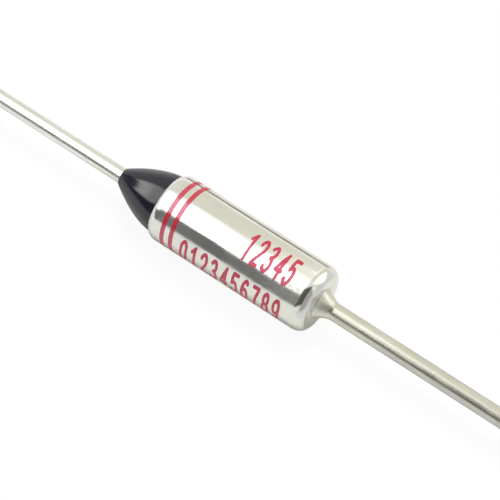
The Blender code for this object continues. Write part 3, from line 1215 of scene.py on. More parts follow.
@dataclass
class Lead(SubAssembly):
    """A straight round wire whose far end is sheared, with its copper core showing there.

    Args:
        plating: Finish of the wire.
        shear_lip: How far the sheared edge is rounded.
        lip_steps: Chords in that rounding.
        cut_ring: Radius of the ring of points on the cut face, as a share of the wire's.
        cut_reach: How close to the end a face of the cut lies, as a share of the lip.
    """

    plating: PlatedMetal = CASE_WIRE_PLATING
    shear_lip: float = 0.05 * MM
    lip_steps: int = 4
    cut_ring: float = 0.45
    cut_reach: float = 0.15

    def sheared(self, tip: float, wire_radius: float, towards: float) -> list[Point]:
        """The sheared end of a wire: a drawn-over lip, then the cut face.

        Args:
            tip: Depth of the end.
            wire_radius: Radius of the wire.
            towards: 1 where the wire ends at a greater depth, and -1 where at a smaller one.

        Returns:
            Depth and radius of each point, from the wire to the axis.
        """
        lip = self.shear_lip
        points = []
        for step in range(self.lip_steps + 1):
            angle = QUARTER_TURN * step / self.lip_steps
            points.append((tip - towards * lip * (1.0 - math.sin(angle)),
                           wire_radius - lip * (1.0 - math.cos(angle))))
        return points + [(tip, wire_radius * self.cut_ring), (tip, 0.0)]

    def bare_the_cut(self, piece: bpy.types.Object, tip_x: float) -> None:
        """Give the faces at the sheared end the second material.

        Args:
            piece: The wire.
            tip_x: Where its end is along X.
        """
        for face in piece.data.polygons:
            if abs(face.center.x - tip_x) < self.cut_reach * self.shear_lip:
                face.material_index = 1

    def dress(self) -> None:
        """Plate the wire and show copper at the cut."""
        self.coat(Slot.WIRE, self.plating.material(), CUT_COPPER.material())


@dataclass
class CaseLead(Lead):
    """The lead that is riveted through the closed end, with a flared shoulder against it.

    Args:
        wire_radius: Radius of the wire.
        flange_radius: Radius of the shoulder where it meets the end.
        flange_edge: Height of the shoulder's rounded edge.
        flange_steps: Chords in it.
        flare_length: How far the flare reaches from the end.
        flare_curve: How hollow the flare is.
        flare_steps: Rings along the flare.
        seat: Clearance to the case.
        shank_radius: Radius of the shank in the rivet hole.
        head_radius: Radius of the riveted head inside.
        end_wall: Thickness of the closed end.
        countersink_depth: Depth of the head's cone.
    """

    wire_radius: float = 0.5 * MM
    flange_radius: float = 0.94 * MM
    flange_edge: float = 0.02 * MM
    flange_steps: int = 6
    flare_length: float = 0.92 * MM
    flare_curve: float = 1.7
    flare_steps: int = 36
    seat: float = 0.002 * MM
    shank_radius: float = 0.4 * MM
    head_radius: float = 0.75 * MM
    end_wall: float = END_WALL
    countersink_depth: float = RIVET_CONE

    def outline(self) -> list[Point]:
        """Draw the section of the lead.

        Returns:
            Depth and radius of each point, from its head inside the case to its far end.
        """
        tip = AXIS.depth_of(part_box("case_lead")[1].x)
        points = [
            (self.end_wall, 0.0),
            (self.end_wall, self.head_radius),
            (self.end_wall - self.countersink_depth, self.shank_radius),
            (-self.seat, self.shank_radius),
        ]
        rounding = self.flange_edge / 2
        for step in range(self.flange_steps + 1):
            angle = QUARTER_TURN * step / self.flange_steps
            points.append((-self.seat - rounding * (1.0 - math.cos(angle)),
                           self.flange_radius - rounding * (1.0 - math.sin(angle))))
        flare_start = self.seat + self.flange_edge
        for step in range(self.flare_steps + 1):
            share = step / self.flare_steps
            hollow = (1.0 - share) ** self.flare_curve
            points.append((-(flare_start + (self.flare_length - flare_start) * share),
                           self.wire_radius + (self.flange_radius - self.wire_radius) * hollow))
        return points + self.sheared(tip, self.wire_radius, -1.0)

    def build(self) -> None:
        """Make the lead."""
        wire = as_piece("case_lead_wire", turned(self.outline(), Fineness.WIRE))
        self.bare_the_cut(wire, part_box("case_lead")[1].x)
        self.carry(wire, Body.HOUSING, "case_lead")


@dataclass
class IsolatedLead(Lead):
    """The lead in the ceramic bush, with a flat head that the star contact touches.

    Args:
        plating: Finish of the wire.
        wire_radius: Radius of the wire.
        head_radius: Radius of the head.
        head_thickness: Thickness of the head.
        head_rounding: Rounding of the head's edge.
        rounding_steps: Chords in that rounding.
    """

    plating: PlatedMetal = ISOLATED_WIRE_PLATING
    wire_radius: float = 0.45 * MM
    head_radius: float = 0.75 * MM
    head_thickness: float = 0.5 * MM
    head_rounding: float = 0.0833 * MM
    rounding_steps: int = 6

    def outline(self) -> list[Point]:
        """Draw the section of the lead.

        Returns:
            Depth and radius of each point, from its head to its far end.
        """
        low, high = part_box("isolated_lead")
        head, tip = AXIS.depth_of(high.x), AXIS.depth_of(low.x)
        edge = self.head_rounding
        points = [(head, 0.0)]
        points += arc((head + edge, self.head_radius - edge), edge, -QUARTER_TURN, 0.0, self.rounding_steps)
        points += [(head + self.head_thickness, self.head_radius),
                   (head + self.head_thickness, self.wire_radius)]
        return points + self.sheared(tip, self.wire_radius, 1.0)

    def build(self) -> None:
        """Make the lead."""
        wire = as_piece("isolated_lead_wire", turned(self.outline(), Fineness.WIRE))
        self.bare_the_cut(wire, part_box("isolated_lead")[0].x)
        self.carry(wire, Body.HOUSING, "isolated_lead")


@dataclass
class EpoxySeal(SubAssembly):
    """The poured seal: it fills the rim behind the bush and tapers down to the lead.

    Args:
        bore_radius: Radius of its bore, round the lead.
        tip_thickness: How thick it is at the lead.
        fullness: How rounded the taper is.
        bush_end_depth: Where it starts behind the bush.
        shoulder_inside: Depth and radius of its shoulder under the rim's inner edge.
        shoulder_outside: Depth and radius of its shoulder at the rim's outer edge.
        sag: How far the resin's skin is uneven.
        sag_bias: What is taken off that unevenness, so that most of it lies below the plain taper.
        waves_round: How fast the unevenness changes round the seal.
        waves_along: How fast it changes along the seal.
        steps: Rings along the taper.
        tip_depth: Where the taper ends.
    """

    bore_radius: float = 0.455 * MM
    tip_thickness: float = 0.06 * MM
    fullness: float = 1.64
    bush_end_depth: float = 10.08 * MM
    shoulder_inside: Point = (10.1116 * MM, 1.5775 * MM)
    shoulder_outside: Point = (10.3027 * MM, 1.7380 * MM)
    sag: float = 0.012 * MM
    sag_bias: float = 0.4
    waves_round: float = 0.9
    waves_along: float = 2.2
    steps: int = 72
    tip_depth: float = AXIS.depth_of(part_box("epoxy_seal")[0].x)

    def skin(self, depth: float, turn: float) -> float:
        """How far the resin stands proud of its plain taper.

        Args:
            depth: Place along the axis.
            turn: Place round it.

        Returns:
            The height over the taper, mostly below zero.
        """
        share = (depth - self.shoulder_outside[0]) / (self.tip_depth - self.shoulder_outside[0])
        if not 0.0 < share < 1.0:
            return 0.0
        swell = noise.noise(Vector((math.sin(turn) * self.waves_round, math.cos(turn) * self.waves_round,
                                    share * self.waves_along)))
        return self.sag * (swell - self.sag_bias) * math.sin(math.pi * share)

    def outline(self) -> list[Point]:
        """Draw the section of the seal.

        Returns:
            Depth and radius of each point.
        """
        tip = self.tip_depth
        tip_radius = self.bore_radius + self.tip_thickness
        inside, outside = self.shoulder_inside, self.shoulder_outside
        points = [(self.bush_end_depth, self.bore_radius), (self.bush_end_depth, inside[1]), inside]
        for step in range(self.steps + 1):
            share = step / self.steps
            radius = tip_radius + (outside[1] - tip_radius) * (1.0 - share ** self.fullness)
            points.append((outside[0] + (tip - outside[0]) * share, radius))
        return points + [(tip, self.bore_radius)]

    def build(self) -> None:
        """Make the seal."""
        seal = as_piece("seal_taper", turned(self.outline(), Fineness.SEAL, self.skin), 40.0)
        self.carry(seal, Body.HOUSING, "epoxy_seal")

    def dress(self) -> None:
        """Give the seal its resin."""
        self.coat(Slot.EPOXY, BLACK_EPOXY.material())


@dataclass
class CeramicBush(SubAssembly):
    """The bush that holds the isolated lead: a nose inside the trip spring and a body under the crimp.

    Args:
        nose_depth: Where the nose starts.
        body_depth: Where the body starts.
        end_depth: Where the body ends.
        bore_radius: Radius of the bore, round the lead.
        nose_radius: Radius of the nose.
        body_radius: Radius of the body.
        edge: Rounding of its edges.
        edge_steps: Chords in each of them.
        shoulder_centre: Depth and radius of the centre of the shoulder under the crimp.
        shoulder_radius: Radius of that shoulder.
        shoulder_turn: How far the shoulder turns in.
        shoulder_steps: Chords in it.
    """

    nose_depth: float = 7.26 * MM
    body_depth: float = 8.06 * MM
    end_depth: float = 10.06 * MM
    bore_radius: float = 0.48 * MM
    nose_radius: float = 1.0 * MM
    body_radius: float = 1.70 * MM
    edge: float = 0.12 * MM
    edge_steps: int = 6
    shoulder_centre: Point = (CRIMP_DEPTH, 1.31 * MM)
    shoulder_radius: float = 0.39 * MM
    shoulder_turn: float = CRIMP_TURN
    shoulder_steps: int = 10

    def rounded_edge(self, depth: float, radius: float) -> list[Point]:
        """Round the edge where an end face meets the outside.

        Args:
            depth: Depth of the end face.
            radius: Radius of the outside.

        Returns:
            Depth and radius of each point.
        """
        centre = (depth + self.edge, radius - self.edge)
        return arc(centre, self.edge, -QUARTER_TURN, 0.0, self.edge_steps)

    def outline(self) -> list[Point]:
        """Draw the section of the bush.

        Returns:
            Depth and radius of each point, from the nose's bore to the far end's.
        """
        points = [(self.nose_depth, self.bore_radius)]
        points += self.rounded_edge(self.nose_depth, self.nose_radius)
        points.append((self.body_depth, self.nose_radius))
        points += self.rounded_edge(self.body_depth, self.body_radius)
        points += arc(self.shoulder_centre, self.shoulder_radius, 0.0, self.shoulder_turn,
                      self.shoulder_steps)
        points.append((self.end_depth, self.bore_radius))
        return points

    def build(self) -> None:
        """Make the bush."""
        bush = as_piece("bush_body", turned(self.outline(), Fineness.HIDDEN))
        self.carry(bush, Body.HOUSING, "ceramic_bush")

    def dress(self) -> None:
        """Give it its fired ceramic."""
        self.coat(Slot.CERAMIC, FIRED_CERAMIC.material())


@dataclass
class ThermalPellet(SubAssembly):
    """The pressed pellet, which flattens against the closed end as it melts; this piece keeps its pressed
    shape.

    Args:
        start: Depth of its end against the case.
        end: Depth of its other end.
        radius: Its radius.
        chamfer: Bevel of both its edges.
        dish: How far each end is pressed in at the middle.
        dish_steps: Rings across each end.
        wall_rings: Where the rings along its side are, as shares of its length.
        left: Share of its length that is left when it has melted; not used.
    """

    start: float = 0.52 * MM
    end: float = 3.02 * MM
    radius: float = 1.70 * MM
    chamfer: float = 0.25 * MM
    dish: float = 0.04 * MM
    dish_steps: int = 6
    wall_rings: tuple[float, ...] = (0.25, 0.5, 0.75)
    left: float = 0.2

    def outline(self) -> list[Point]:
        """Draw the section of the pellet.

        Returns:
            Depth and radius of each point, from one end's middle to the other's.
        """
        flat = self.radius - self.chamfer
        rise = []
        for step in range(self.dish_steps + 1):
            share = step / self.dish_steps
            rise.append((self.start + self.dish * (1.0 - share ** 2), flat * share))
        points = rise + [(self.start + self.chamfer, self.radius)]
        for share in self.wall_rings:
            points.append((self.start + (self.end - self.start) * share, self.radius))
        points.append((self.end - self.chamfer, self.radius))
        return points + [(self.start + self.end - depth, radius) for depth, radius in reversed(rise)]

    def build(self) -> None:
        """Make the pellet."""
        pellet = as_piece("pellet_body", turned(self.outline(), Fineness.HIDDEN))
        self.carry(pellet, Body.HOUSING, "thermal_pellet")
        anchor = AXIS.point(self.start, 0.0, 0.0)
        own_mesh(pellet)

    def dress(self) -> None:
        """Give it its pressed wax."""
        self.coat(Slot.PELLET, PELLET_WAX.material())


@dataclass
class PunchedDiscs(SubAssembly):
    """The two punched discs between which the bias spring stands.

    Args:
        pressure_depth: Where the pressure disc starts.
        pressure_radius: Its radius.
        contact_depth: Where the contact disc starts.
        contact_radius: Its radius.
        thickness: Thickness of both.
        rolled_edge: Radius of the edge that the punch rolled over.
        rolled_steps: Chords in it.
        burr_edge: Radius of the sharper edge on the other side.
        burr_steps: Chords in that one.
        face_ring: Radius of the ring of points on each face, as a share of the disc's.
    """

    pressure_depth: float = 3.04 * MM
    pressure_radius: float = 1.70 * MM
    contact_depth: float = 6.33 * MM
    contact_radius: float = 1.25 * MM
    thickness: float = 0.25 * MM
    rolled_edge: float = 0.06 * MM
    rolled_steps: int = 6
    burr_edge: float = 0.012 * MM
    burr_steps: int = 3
    face_ring: float = 0.5

    def disc(self, depth: float, radius: float) -> bmesh.types.BMesh:
        """One disc.

        Args:
            depth: Where it starts.
            radius: Its radius.

        Returns:
            Its mesh.
        """
        end, ring = depth + self.thickness, radius * self.face_ring
        rolled, burr = self.rolled_edge, self.burr_edge
        points = [(depth, 0.0), (depth, ring)]
        points += arc((depth + rolled, radius - rolled), rolled, -QUARTER_TURN, 0.0, self.rolled_steps)
        points += arc((end - burr, radius - burr), burr, 0.0, QUARTER_TURN, self.burr_steps)
        return turned(points + [(end, ring), (end, 0.0)], Fineness.HIDDEN)

    def build(self) -> None:
        """Make both discs."""
        pressure = as_piece("pressure_disc_plate", self.disc(self.pressure_depth, self.pressure_radius))
        self.carry(pressure, Body.PLATE, "pressure_disc")
        contact = as_piece("contact_disc_plate", self.disc(self.contact_depth, self.contact_radius))
        self.carry(contact, Body.CARRIAGE, "contact_disc")

    def dress(self) -> None:
        """Give both their steel."""
        self.coat(Slot.STEEL, SPRING_STEEL.material())


@dataclass
class StarContact(SubAssembly):
    """The star contact: a flat hub whose slotted rim is bent round and slides in the case.

    Args:
        face_depth: Depth of the face towards the isolated lead.
        thickness: Thickness of the sheet.
        petals: How many petals it has.
        hub_radius: Where the slots start.
        flat_radius: Where the bend starts.
        bend: Outside radius of the bend.
        tip_radius: Radius at the petals' tips.
        cup_depth: How far the petals reach back from the face.
        slot_turn: Width of a slot.
        bend_steps: Chords in the bend.
        petal_steps: Chords across a petal.
        petal_bow: How far a petal is bowed in at its sides.
    """

    face_depth: float = 6.72 * MM
    thickness: float = 0.12 * MM
    petals: int = 12
    hub_radius: float = 1.0 * MM
    flat_radius: float = 1.30 * MM
    bend: float = 0.43 * MM
    tip_radius: float = 1.73 * MM
    cup_depth: float = 0.8 * MM
    slot_turn: float = math.radians(7.0)
    bend_steps: int = 10
    petal_steps: int = 6
    petal_bow: float = 0.008 * MM

    def surface(self, inset: float) -> list[Point]:
        """One face of a petal, from the hub to the tip.

        Args:
            inset: How far the face lies inside the outer one.

        Returns:
            Depth and radius of each point.
        """
        bend = self.bend - inset
        centre = (self.face_depth - self.bend, self.flat_radius)
        points = [(self.face_depth - inset, self.hub_radius)]
        for step in range(self.bend_steps + 1):
            angle = QUARTER_TURN * step / self.bend_steps
            points.append((centre[0] + bend * math.cos(angle), centre[1] + bend * math.sin(angle)))
        points.append((self.face_depth - self.cup_depth, self.tip_radius - inset))
        return points

    def mesh(self) -> bmesh.types.BMesh:
        """Bend the whole contact.

        Returns:
            Its closed mesh.
        """
        builder = bmesh.new()
        pitch = FULL_TURN / self.petals
        surfaces = (self.surface(0.0), self.surface(self.thickness))
        per_petal = self.petal_steps + 1
        columns = []
        for petal in range(self.petals):
            for step in range(per_petal):
                across = 2.0 * step / self.petal_steps - 1.0
                angle = pitch * petal + (pitch - self.slot_turn) / 2 * across
                columns.append([self.column(builder, face, angle, across) for face in surfaces])
        for number, (outer, inner) in enumerate(columns):
            next_outer, next_inner = columns[(number + 1) % len(columns)]
            place = number % per_petal
            last = place == per_petal - 1
            if last:
                builder.faces.new((outer[0], next_outer[0], next_inner[0], inner[0]))
            else:
                builder.faces.new((outer[-1], inner[-1], next_inner[-1], next_outer[-1]))
            for row in range(len(outer) - 1):
                if not last:
                    builder.faces.new((outer[row], outer[row + 1], next_outer[row + 1], next_outer[row]))
                    builder.faces.new((inner[row], next_inner[row], next_inner[row + 1], inner[row + 1]))
                if place == 0 or last:
                    builder.faces.new((outer[row], inner[row], inner[row + 1], outer[row + 1]))
        for side, depth in ((0, self.face_depth), (1, self.face_depth - self.thickness)):
            middle = builder.verts.new(AXIS.point(depth, 0.0, 0.0))
            rim = [column[side][0] for column in columns]
            for vertex, after in zip(rim, rim[1:] + rim[:1]):
                builder.faces.new((middle, vertex, after))
        bmesh.ops.recalc_face_normals(builder, faces=builder.faces)
        return builder

    def column(self, builder: bmesh.types.BMesh, face: list[Point], angle: float,
               across: float) -> list[bmesh.types.BMVert]:
        """The vertices of one face along a petal.

        Args:
            builder: Mesh that takes them.
            face: Depth and radius along the petal.
            angle: Turn of this line.
            across: Its place across the petal, from -1 to 1.

        Returns:
            The vertices, from the hub to the tip.
        """
        vertices = []
        for number, (depth, radius) in enumerate(face):
            bowed = self.petal_bow * across * across if number > 0 else 0.0
            vertices.append(builder.verts.new(AXIS.point(depth, radius - bowed, angle)))
        return vertices

    def build(self) -> None:
        """Make the contact."""
        self.carry(as_piece("star_contact_cup", self.mesh()), Body.CARRIAGE, "star_contact")

    def dress(self) -> None:
        """Plate it with silver."""
        self.coat(Slot.SILVER, SILVER_PLATING.material())


@dataclass(kw_only=True)
class CoilSpring(SubAssembly):
    """A coiled spring between two bodies.

    Args:
        name: Name of the piece.
        node: The solid that it stands for.
        start: Depth of its first end.
        length: Its length.
        wire: Diameter of its wire.
        turns: How many turns it has.
        closed_turns: How many of them lie together at each end.
        closed_gap: Gap between those.
        radii: Mean radius of the coil at equal steps from its first end to its last.
        first: The body at its first end; not used.
        last: The body at its last end; not used.
        wire_sides: Facets round the wire.
        turn_steps: Sections in each turn.
        cut_end: Thickness of the wire's dressed ends, as a share of the wire's.
    """

    name: str
    node: str
    start: float
    length: float
    wire: float
    turns: float
    closed_turns: float
    closed_gap: float = 0.025 * MM
    radii: tuple[float, ...]
    first: Body
    last: Body
    wire_sides: int = 16
    turn_steps: int = 48
    cut_end: float = 0.8

    def advance(self, turned_by: float) -> float:
        """How deep the wire's middle is, counted from the first end.

        Args:
            turned_by: Turns from the first end.

        Returns:
            The depth.
        """
        closed_pitch = self.wire + self.closed_gap
        open_turns = self.turns - 2 * self.closed_turns
        open_pitch = (self.length - self.wire - 2 * self.closed_turns * closed_pitch) / open_turns
        past_first = turned_by - self.closed_turns
        in_closed = min(turned_by, self.closed_turns) + max(past_first - open_turns, 0.0)
        in_open = min(max(past_first, 0.0), open_turns)
        return self.wire / 2 + in_closed * closed_pitch + in_open * open_pitch

    def mean_radius(self, share: float) -> float:
        """Mean radius of the coil at one place.

        Args:
            share: The place, as a share of the coil's length.

        Returns:
            The radius.
        """
        place = share * (len(self.radii) - 1)
        number = min(int(place), len(self.radii) - 2)
        return self.radii[number] + (self.radii[number + 1] - self.radii[number]) * (place - number)

    def mesh(self) -> bmesh.types.BMesh:
        """Coil the wire.

        Returns:
            Its mesh, with dressed ends.
        """
        builder = bmesh.new()
        steps = round(self.turns * self.turn_steps)
        sections = []
        for step in range(steps + 1):
            turned_by = self.turns * step / steps
            turn = QUARTER_TURN - FULL_TURN * turned_by
            depth = self.advance(turned_by)
            radius = self.mean_radius(depth / self.length)
            half = self.wire / 2 * (self.cut_end if step in (0, steps) else 1.0)
            section = []
            for side in range(self.wire_sides):
                around = FULL_TURN * side / self.wire_sides
                section.append(builder.verts.new(AXIS.point(
                    self.start + depth + half * math.sin(around), radius + half * math.cos(around), turn)))
            sections.append(section)
        join_sections(builder, sections, closed=False)
        builder.faces.new(sections[0])
        builder.faces.new(sections[-1])
        bmesh.ops.recalc_face_normals(builder, faces=builder.faces)
        return builder

    def build(self) -> None:
        """Make the spring."""
        spring = as_piece(self.name, self.mesh(), 40.0)
        tuple(AXIS.point(self.start, 0.0, 0.0))
        tuple(AXIS.point(self.start + self.length, 0.0, 0.0))
        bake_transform(spring)
        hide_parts(self.node)
        self.pieces.append(spring)

    def dress(self) -> None:
        """Give it its steel."""
        self.coat(Slot.STEEL, SPRING_STEEL.material())


def bias_spring() -> CoilSpring:
    """The strong spring between the two discs.

    Returns:
        The spring, with a barrel's outline: widest half way along.
    """
    end_radius, bulge, steps = 1.025 * MM, 0.28 * MM, 12
    radii = tuple(end_radius + bulge * math.sin(math.pi * step / steps) for step in range(steps + 1))
    return CoilSpring(name="bias_spring_coil", node="bias_spring", start=3.31 * MM, length=3.0 * MM,
                      wire=0.35 * MM, turns=6.0, closed_turns=1.0, radii=radii,
                      first=Body.PLATE, last=Body.CARRIAGE)


def trip_spring() -> CoilSpring:
    """The weak spring round the lead's head and the bush's nose.

    Returns:
        The spring, whose coils widen from the head's until they clear the nose.
    """
    head_radius, nose_radius, widened_at, steps = 0.90 * MM, 1.15 * MM, 0.32, 20
    radii = tuple(head_radius + (nose_radius - head_radius) * min(1.0, step / steps / widened_at)
                  for step in range(steps + 1))
    return CoilSpring(name="trip_spring_coil", node="trip_spring", start=6.74 * MM, length=1.30 * MM,
                      wire=0.2 * MM, turns=3.5, closed_turns=0.75, radii=radii,
                      first=Body.CARRIAGE, last=Body.HOUSING)


@dataclass(frozen=True)
class SkyPanel:
    """A four-sided field with soft edges in what bright surfaces mirror.

    Args:
        near_tilt: Its edge towards the seal, in degrees along the axis from overhead to +X.
        near_turns: Where that edge starts and ends, in degrees round the axis from overhead to -Y.
        far_tilt: Its edge towards the case lead.
        far_turns: Where that edge starts and ends.
        turn_fade: Half the width over which its sides fade, in degrees.
        tilt_fade: The same for its two edges.
        light: Its colour and strength.
    """

    near_tilt: float
    near_turns: Point
    far_tilt: float
    far_turns: Point
    turn_fade: float
    tilt_fade: float
    light: Colour

    def mask(self, sheet: NodeSheet, turn: bpy.types.NodeSocket,
             tilt: bpy.types.NodeSocket) -> bpy.types.NodeSocket:
        """Where the field is, as a share.

        Args:
            sheet: The world's sheet.
            turn: Direction round the axis, in degrees.
            tilt: Direction along the axis, in degrees.

        Returns:
            The share's socket.
        """
        sides = []
        for near, far in zip(self.near_turns, self.far_turns):
            side = sheet.add("ShaderNodeMapRange")
            sheet.feed(side, Value=tilt, From_Min=self.near_tilt, From_Max=self.far_tilt,
                       To_Min=near, To_Max=far)
            sides.append(side.outputs["Result"])
        round_the_axis = sheet.span(turn, *sides, self.turn_fade)
        along_it = sheet.span(tilt, self.near_tilt, self.far_tilt, self.tilt_fade)
        return sheet.math("MULTIPLY", round_the_axis, along_it)


@dataclass
class Studio:
    """The floor, the light and the camera.

    Args:
        azimuth: Camera's direction in degrees, as the views count it.
        elevation: Camera's height above the horizon in degrees.
        lens: Focal length in millimetres.
        sensor: Width of the picture on the sensor in millimetres.
        distance: From the camera to the part.
        image_size: Width and height of the photograph in pixels.
        aim_x: Place on the part's axis that the camera is set by.
        aim_pixel: Where that place is in the photograph.
        surround: What bright surfaces mirror where no panel is.
        panels: The panels, each over the ones before it.
        ambient: Strength of the even light.
        floor_light: Share of the floor's white that does not take a shadow.
        paper: What bright surfaces mirror of the floor.
        seal_side_painted_light: The same, out under the isolated lead, painted brighter: a painted pool of
            light.
        case_side_painted_shade: The same, out under the case lead, painted darker: painted shade.
        side_x: Where those two start along X.
        side_fade: Half the width over which each of them fades in.
        painted_case_shade: The same, darkened beside the case: a painted shadow of the case in what surfaces
            mirror.
        shade_x: Where that shade starts and ends along X.
        shade_y: Where it starts and ends along Y.
        shade_fade: Half the width over which it fades, along X and along Y.
        painted_far_line: A darker band painted into the floor behind the part, which only surfaces'
            reflections see, as a painted dark line.
        painted_far_line_x: Where the strip starts and ends along X.
        painted_far_line_y: Where it starts and ends along Y.
        painted_far_line_fade: Half the width over which it fades, along X and along Y.
        floor_white: Brightness of the floor where no shadow falls.
        floor_half: Half the floor's width.
        lamp_place: Where the lamp hangs.
        lamp_size: How wide it is.
        lamp_power: Its power in watts.
    """

    azimuth: float = 36.10
    elevation: float = 61.28
    lens: float = 200.0
    sensor: float = 36.0
    distance: float = 149.88 * MM
    image_size: float = 500.0
    aim_x: float = 1.215 * MM
    aim_pixel: Point = (239.27, 250.80)
    surround: Colour = (0.84, 0.83, 0.80)
    panels: tuple[SkyPanel, ...] = (
        # the upper side of everything, and the same on the isolated lead
        SkyPanel(-100.0, (-140.0, -20.0), 100.0, (-140.0, -20.0), 4.0, 1.0, (0.745, 0.735, 0.62)),
        SkyPanel(-100.0, (-140.0, -20.0), -19.5, (-140.0, -20.0), 4.0, 1.0, (0.765, 0.765, 0.72)),
        # the closed end: its flat, the shade below it, and its corner's dark and bright bands
        SkyPanel(58.0, (-200.0, 200.0), 120.0, (-200.0, 200.0), 1.0, 14.0, (0.62, 0.62, 0.60)),
        SkyPanel(18.0, (-4.0, 88.0), 62.0, (8.0, 88.0), 6.0, 12.0, (0.36, 0.355, 0.335)),
        SkyPanel(-12.0, (16.0, 80.0), 22.0, (-10.0, 62.0), 5.0, 1.5, (0.09, 0.09, 0.08)),
        SkyPanel(9.0, (-80.0, -12.0), 26.0, (-76.0, -18.0), 5.0, 1.5, (1.45, 1.45, 1.38)),
        SkyPanel(26.0, (-76.0, -18.0), 50.0, (-77.0, -46.0), 5.0, 3.0, (1.45, 1.45, 1.38)),
        # the case lead's upper side and its highlight
        SkyPanel(-12.8, (-112.0, -30.0), -8.0, (-112.0, -50.0), 8.0, 1.0, (0.99, 0.975, 0.89)),
        SkyPanel(-13.5, (-50.0, 24.0), -10.0, (-72.0, 5.0), 7.0, 1.0, (1.34, 1.32, 1.25)),
        # the long highlight of the wall and the isolated lead, stronger towards the seal
        SkyPanel(-100.0, (-33.0, 46.0), -13.0, (-22.0, 40.0), 3.0, 0.5, (1.14, 1.14, 1.12)),
        SkyPanel(-66.5, (-34.0, 68.0), -14.5, (-10.0, 42.0), 2.5, 2.5, (2.9, 2.9, 2.85)),
        SkyPanel(-66.0, (-26.0, 58.0), -47.0, (-18.0, 46.0), 6.0, 5.0, (4.3, 4.3, 4.2)),
        # the seal's shaded rim, then the dark band along the seal, the wall and the case lead
        SkyPanel(-84.0, (-60.0, 75.0), -69.0, (-50.0, 75.0), 6.0, 1.5, (0.20, 0.20, 0.24)),
        SkyPanel(-76.0, (68.0, 112.0), -20.0, (42.0, 84.0), 4.0, 1.0, (0.14, 0.14, 0.14)),
        SkyPanel(-20.0, (42.0, 84.0), -13.5, (41.0, 82.0), 4.0, 1.0, (0.14, 0.14, 0.14)),
        SkyPanel(-13.5, (37.0, 80.0), -9.0, (12.0, 60.0), 4.0, 1.0, (0.24, 0.235, 0.22)),
    )
    ambient: float = 0.46
    floor_light: float = 0.91
    paper: Colour = (0.95, 0.955, 0.89)
    # painted light under the isolated lead and painted shade under the case lead, in the floor as surfaces
    # mirror it
    seal_side_painted_light: Colour = (1.06, 1.06, 1.09)
    case_side_painted_shade: Colour = (0.79, 0.80, 0.84)
    side_x: Point = (-11.0 * MM, 9.5 * MM)
    side_fade: float = 2.0 * MM
    # painted shadow of the case, in the floor as surfaces mirror it
    painted_case_shade: Colour = (0.93, 0.93, 0.90)
    shade_x: Point = (-6.5 * MM, 6.5 * MM)
    shade_y: Point = (-3.4 * MM, 3.4 * MM)
    shade_fade: Point = (1.5 * MM, 1.0 * MM)
    # dark band painted into the mirrored floor behind the part, seen only as a painted dark line in
    # reflections
    painted_far_line: Colour = (0.31, 0.25, 0.22)
    painted_far_line_x: Point = (-9.0 * MM, 5.0 * MM)
    painted_far_line_y: Point = (9.5 * MM, 19.0 * MM)
    painted_far_line_fade: Point = (1.2 * MM, 2.4 * MM)
    floor_white: float = 1.03
    floor_half: float = 1.5
    lamp_place: tuple[float, float, float] = (-0.04, 0.16, 0.4)
    lamp_size: float = 0.25
    lamp_power: float = 0.90

    def set_camera(self) -> None:
        """Put the camera where the photograph was taken from."""
        azimuth, elevation = math.radians(self.azimuth), math.radians(self.elevation)
        back = Vector((math.sin(azimuth) * math.cos(elevation), -math.cos(azimuth) * math.cos(elevation),
                       math.sin(elevation)))
        right = Vector((math.cos(azimuth), math.sin(azimuth), 0.0))
        up = back.cross(right)
        pixel = self.sensor / self.lens * self.distance / self.image_size
        middle = self.image_size / 2
        target = (Vector((self.aim_x, 0.0, AXIS.height)) + right * (middle - self.aim_pixel[0]) * pixel
                  + up * (self.aim_pixel[1] - middle) * pixel)
        data = bpy.data.cameras.new("photograph_camera")
        data.lens = self.lens
        data.sensor_width = self.sensor
        data.clip_start = self.distance / 20
        data.clip_end = 100.0
        camera = bpy.data.objects.new("photograph_camera", data)
        camera.rotation_mode = "QUATERNION"
        camera.location = target + back * self.distance
        camera.rotation_quaternion = (-back).to_track_quat("-Z", "Y")
        bpy.context.scene.collection.objects.link(camera)
        bpy.context.scene.camera = camera

    def mirrored_sky(self, sheet: NodeSheet) -> bpy.types.NodeSocket:
        """What bright surfaces mirror, by direction.

        Args:
            sheet: The world's sheet.

        Returns:
            The colour's socket.
        """
        direction = sheet.add("ShaderNodeTexCoord").outputs["Generated"]
        parts = sheet.feed(sheet.add("ShaderNodeSeparateXYZ"), Vector=direction)
        towards_front = sheet.math("MULTIPLY", parts.outputs[1], -1.0)
        to_degrees = math.degrees(1.0)
        turn = sheet.math("MULTIPLY", sheet.math("ARCTAN2", towards_front, parts.outputs[2]), to_degrees)
        tilt = sheet.math("MULTIPLY", sheet.math("ARCSINE", parts.outputs[0]), to_degrees)
        light = opaque(self.surround)
        for panel in self.panels:
            light = sheet.blend(panel.mask(sheet, turn, tilt), light, opaque(panel.light))
        return light

    def set_sky(self) -> None:
        """White for the camera, panels for bright surfaces, and an even light for the rest."""
        world = bpy.data.worlds.new("studio_sky")
        world.use_nodes = True
        bpy.context.scene.world = world
        world.node_tree.nodes.clear()
        sheet = NodeSheet(world.node_tree)
        path = sheet.add("ShaderNodeLightPath")
        white = sheet.feed(sheet.add("ShaderNodeBackground"), Color=(1.0, 1.0, 1.0, 1.0), Strength=1.0)
        panels = sheet.feed(sheet.add("ShaderNodeBackground"), Color=self.mirrored_sky(sheet), Strength=1.0)
        even = sheet.feed(sheet.add("ShaderNodeBackground"), Color=(1.0, 1.0, 1.0, 1.0),
                          Strength=self.ambient)
        for_gloss = sheet.add("ShaderNodeMixShader")
        sheet.feed(for_gloss, in_0=path.outputs["Is Glossy Ray"], in_1=even.outputs[0],
                   in_2=panels.outputs[0])
        for_all = sheet.add("ShaderNodeMixShader")
        sheet.feed(for_all, in_0=path.outputs["Is Camera Ray"], in_1=for_gloss.outputs[0],
                   in_2=white.outputs[0])
        put = sheet.add("ShaderNodeOutputWorld")
        sheet.feed(put, Surface=for_all.outputs[0])

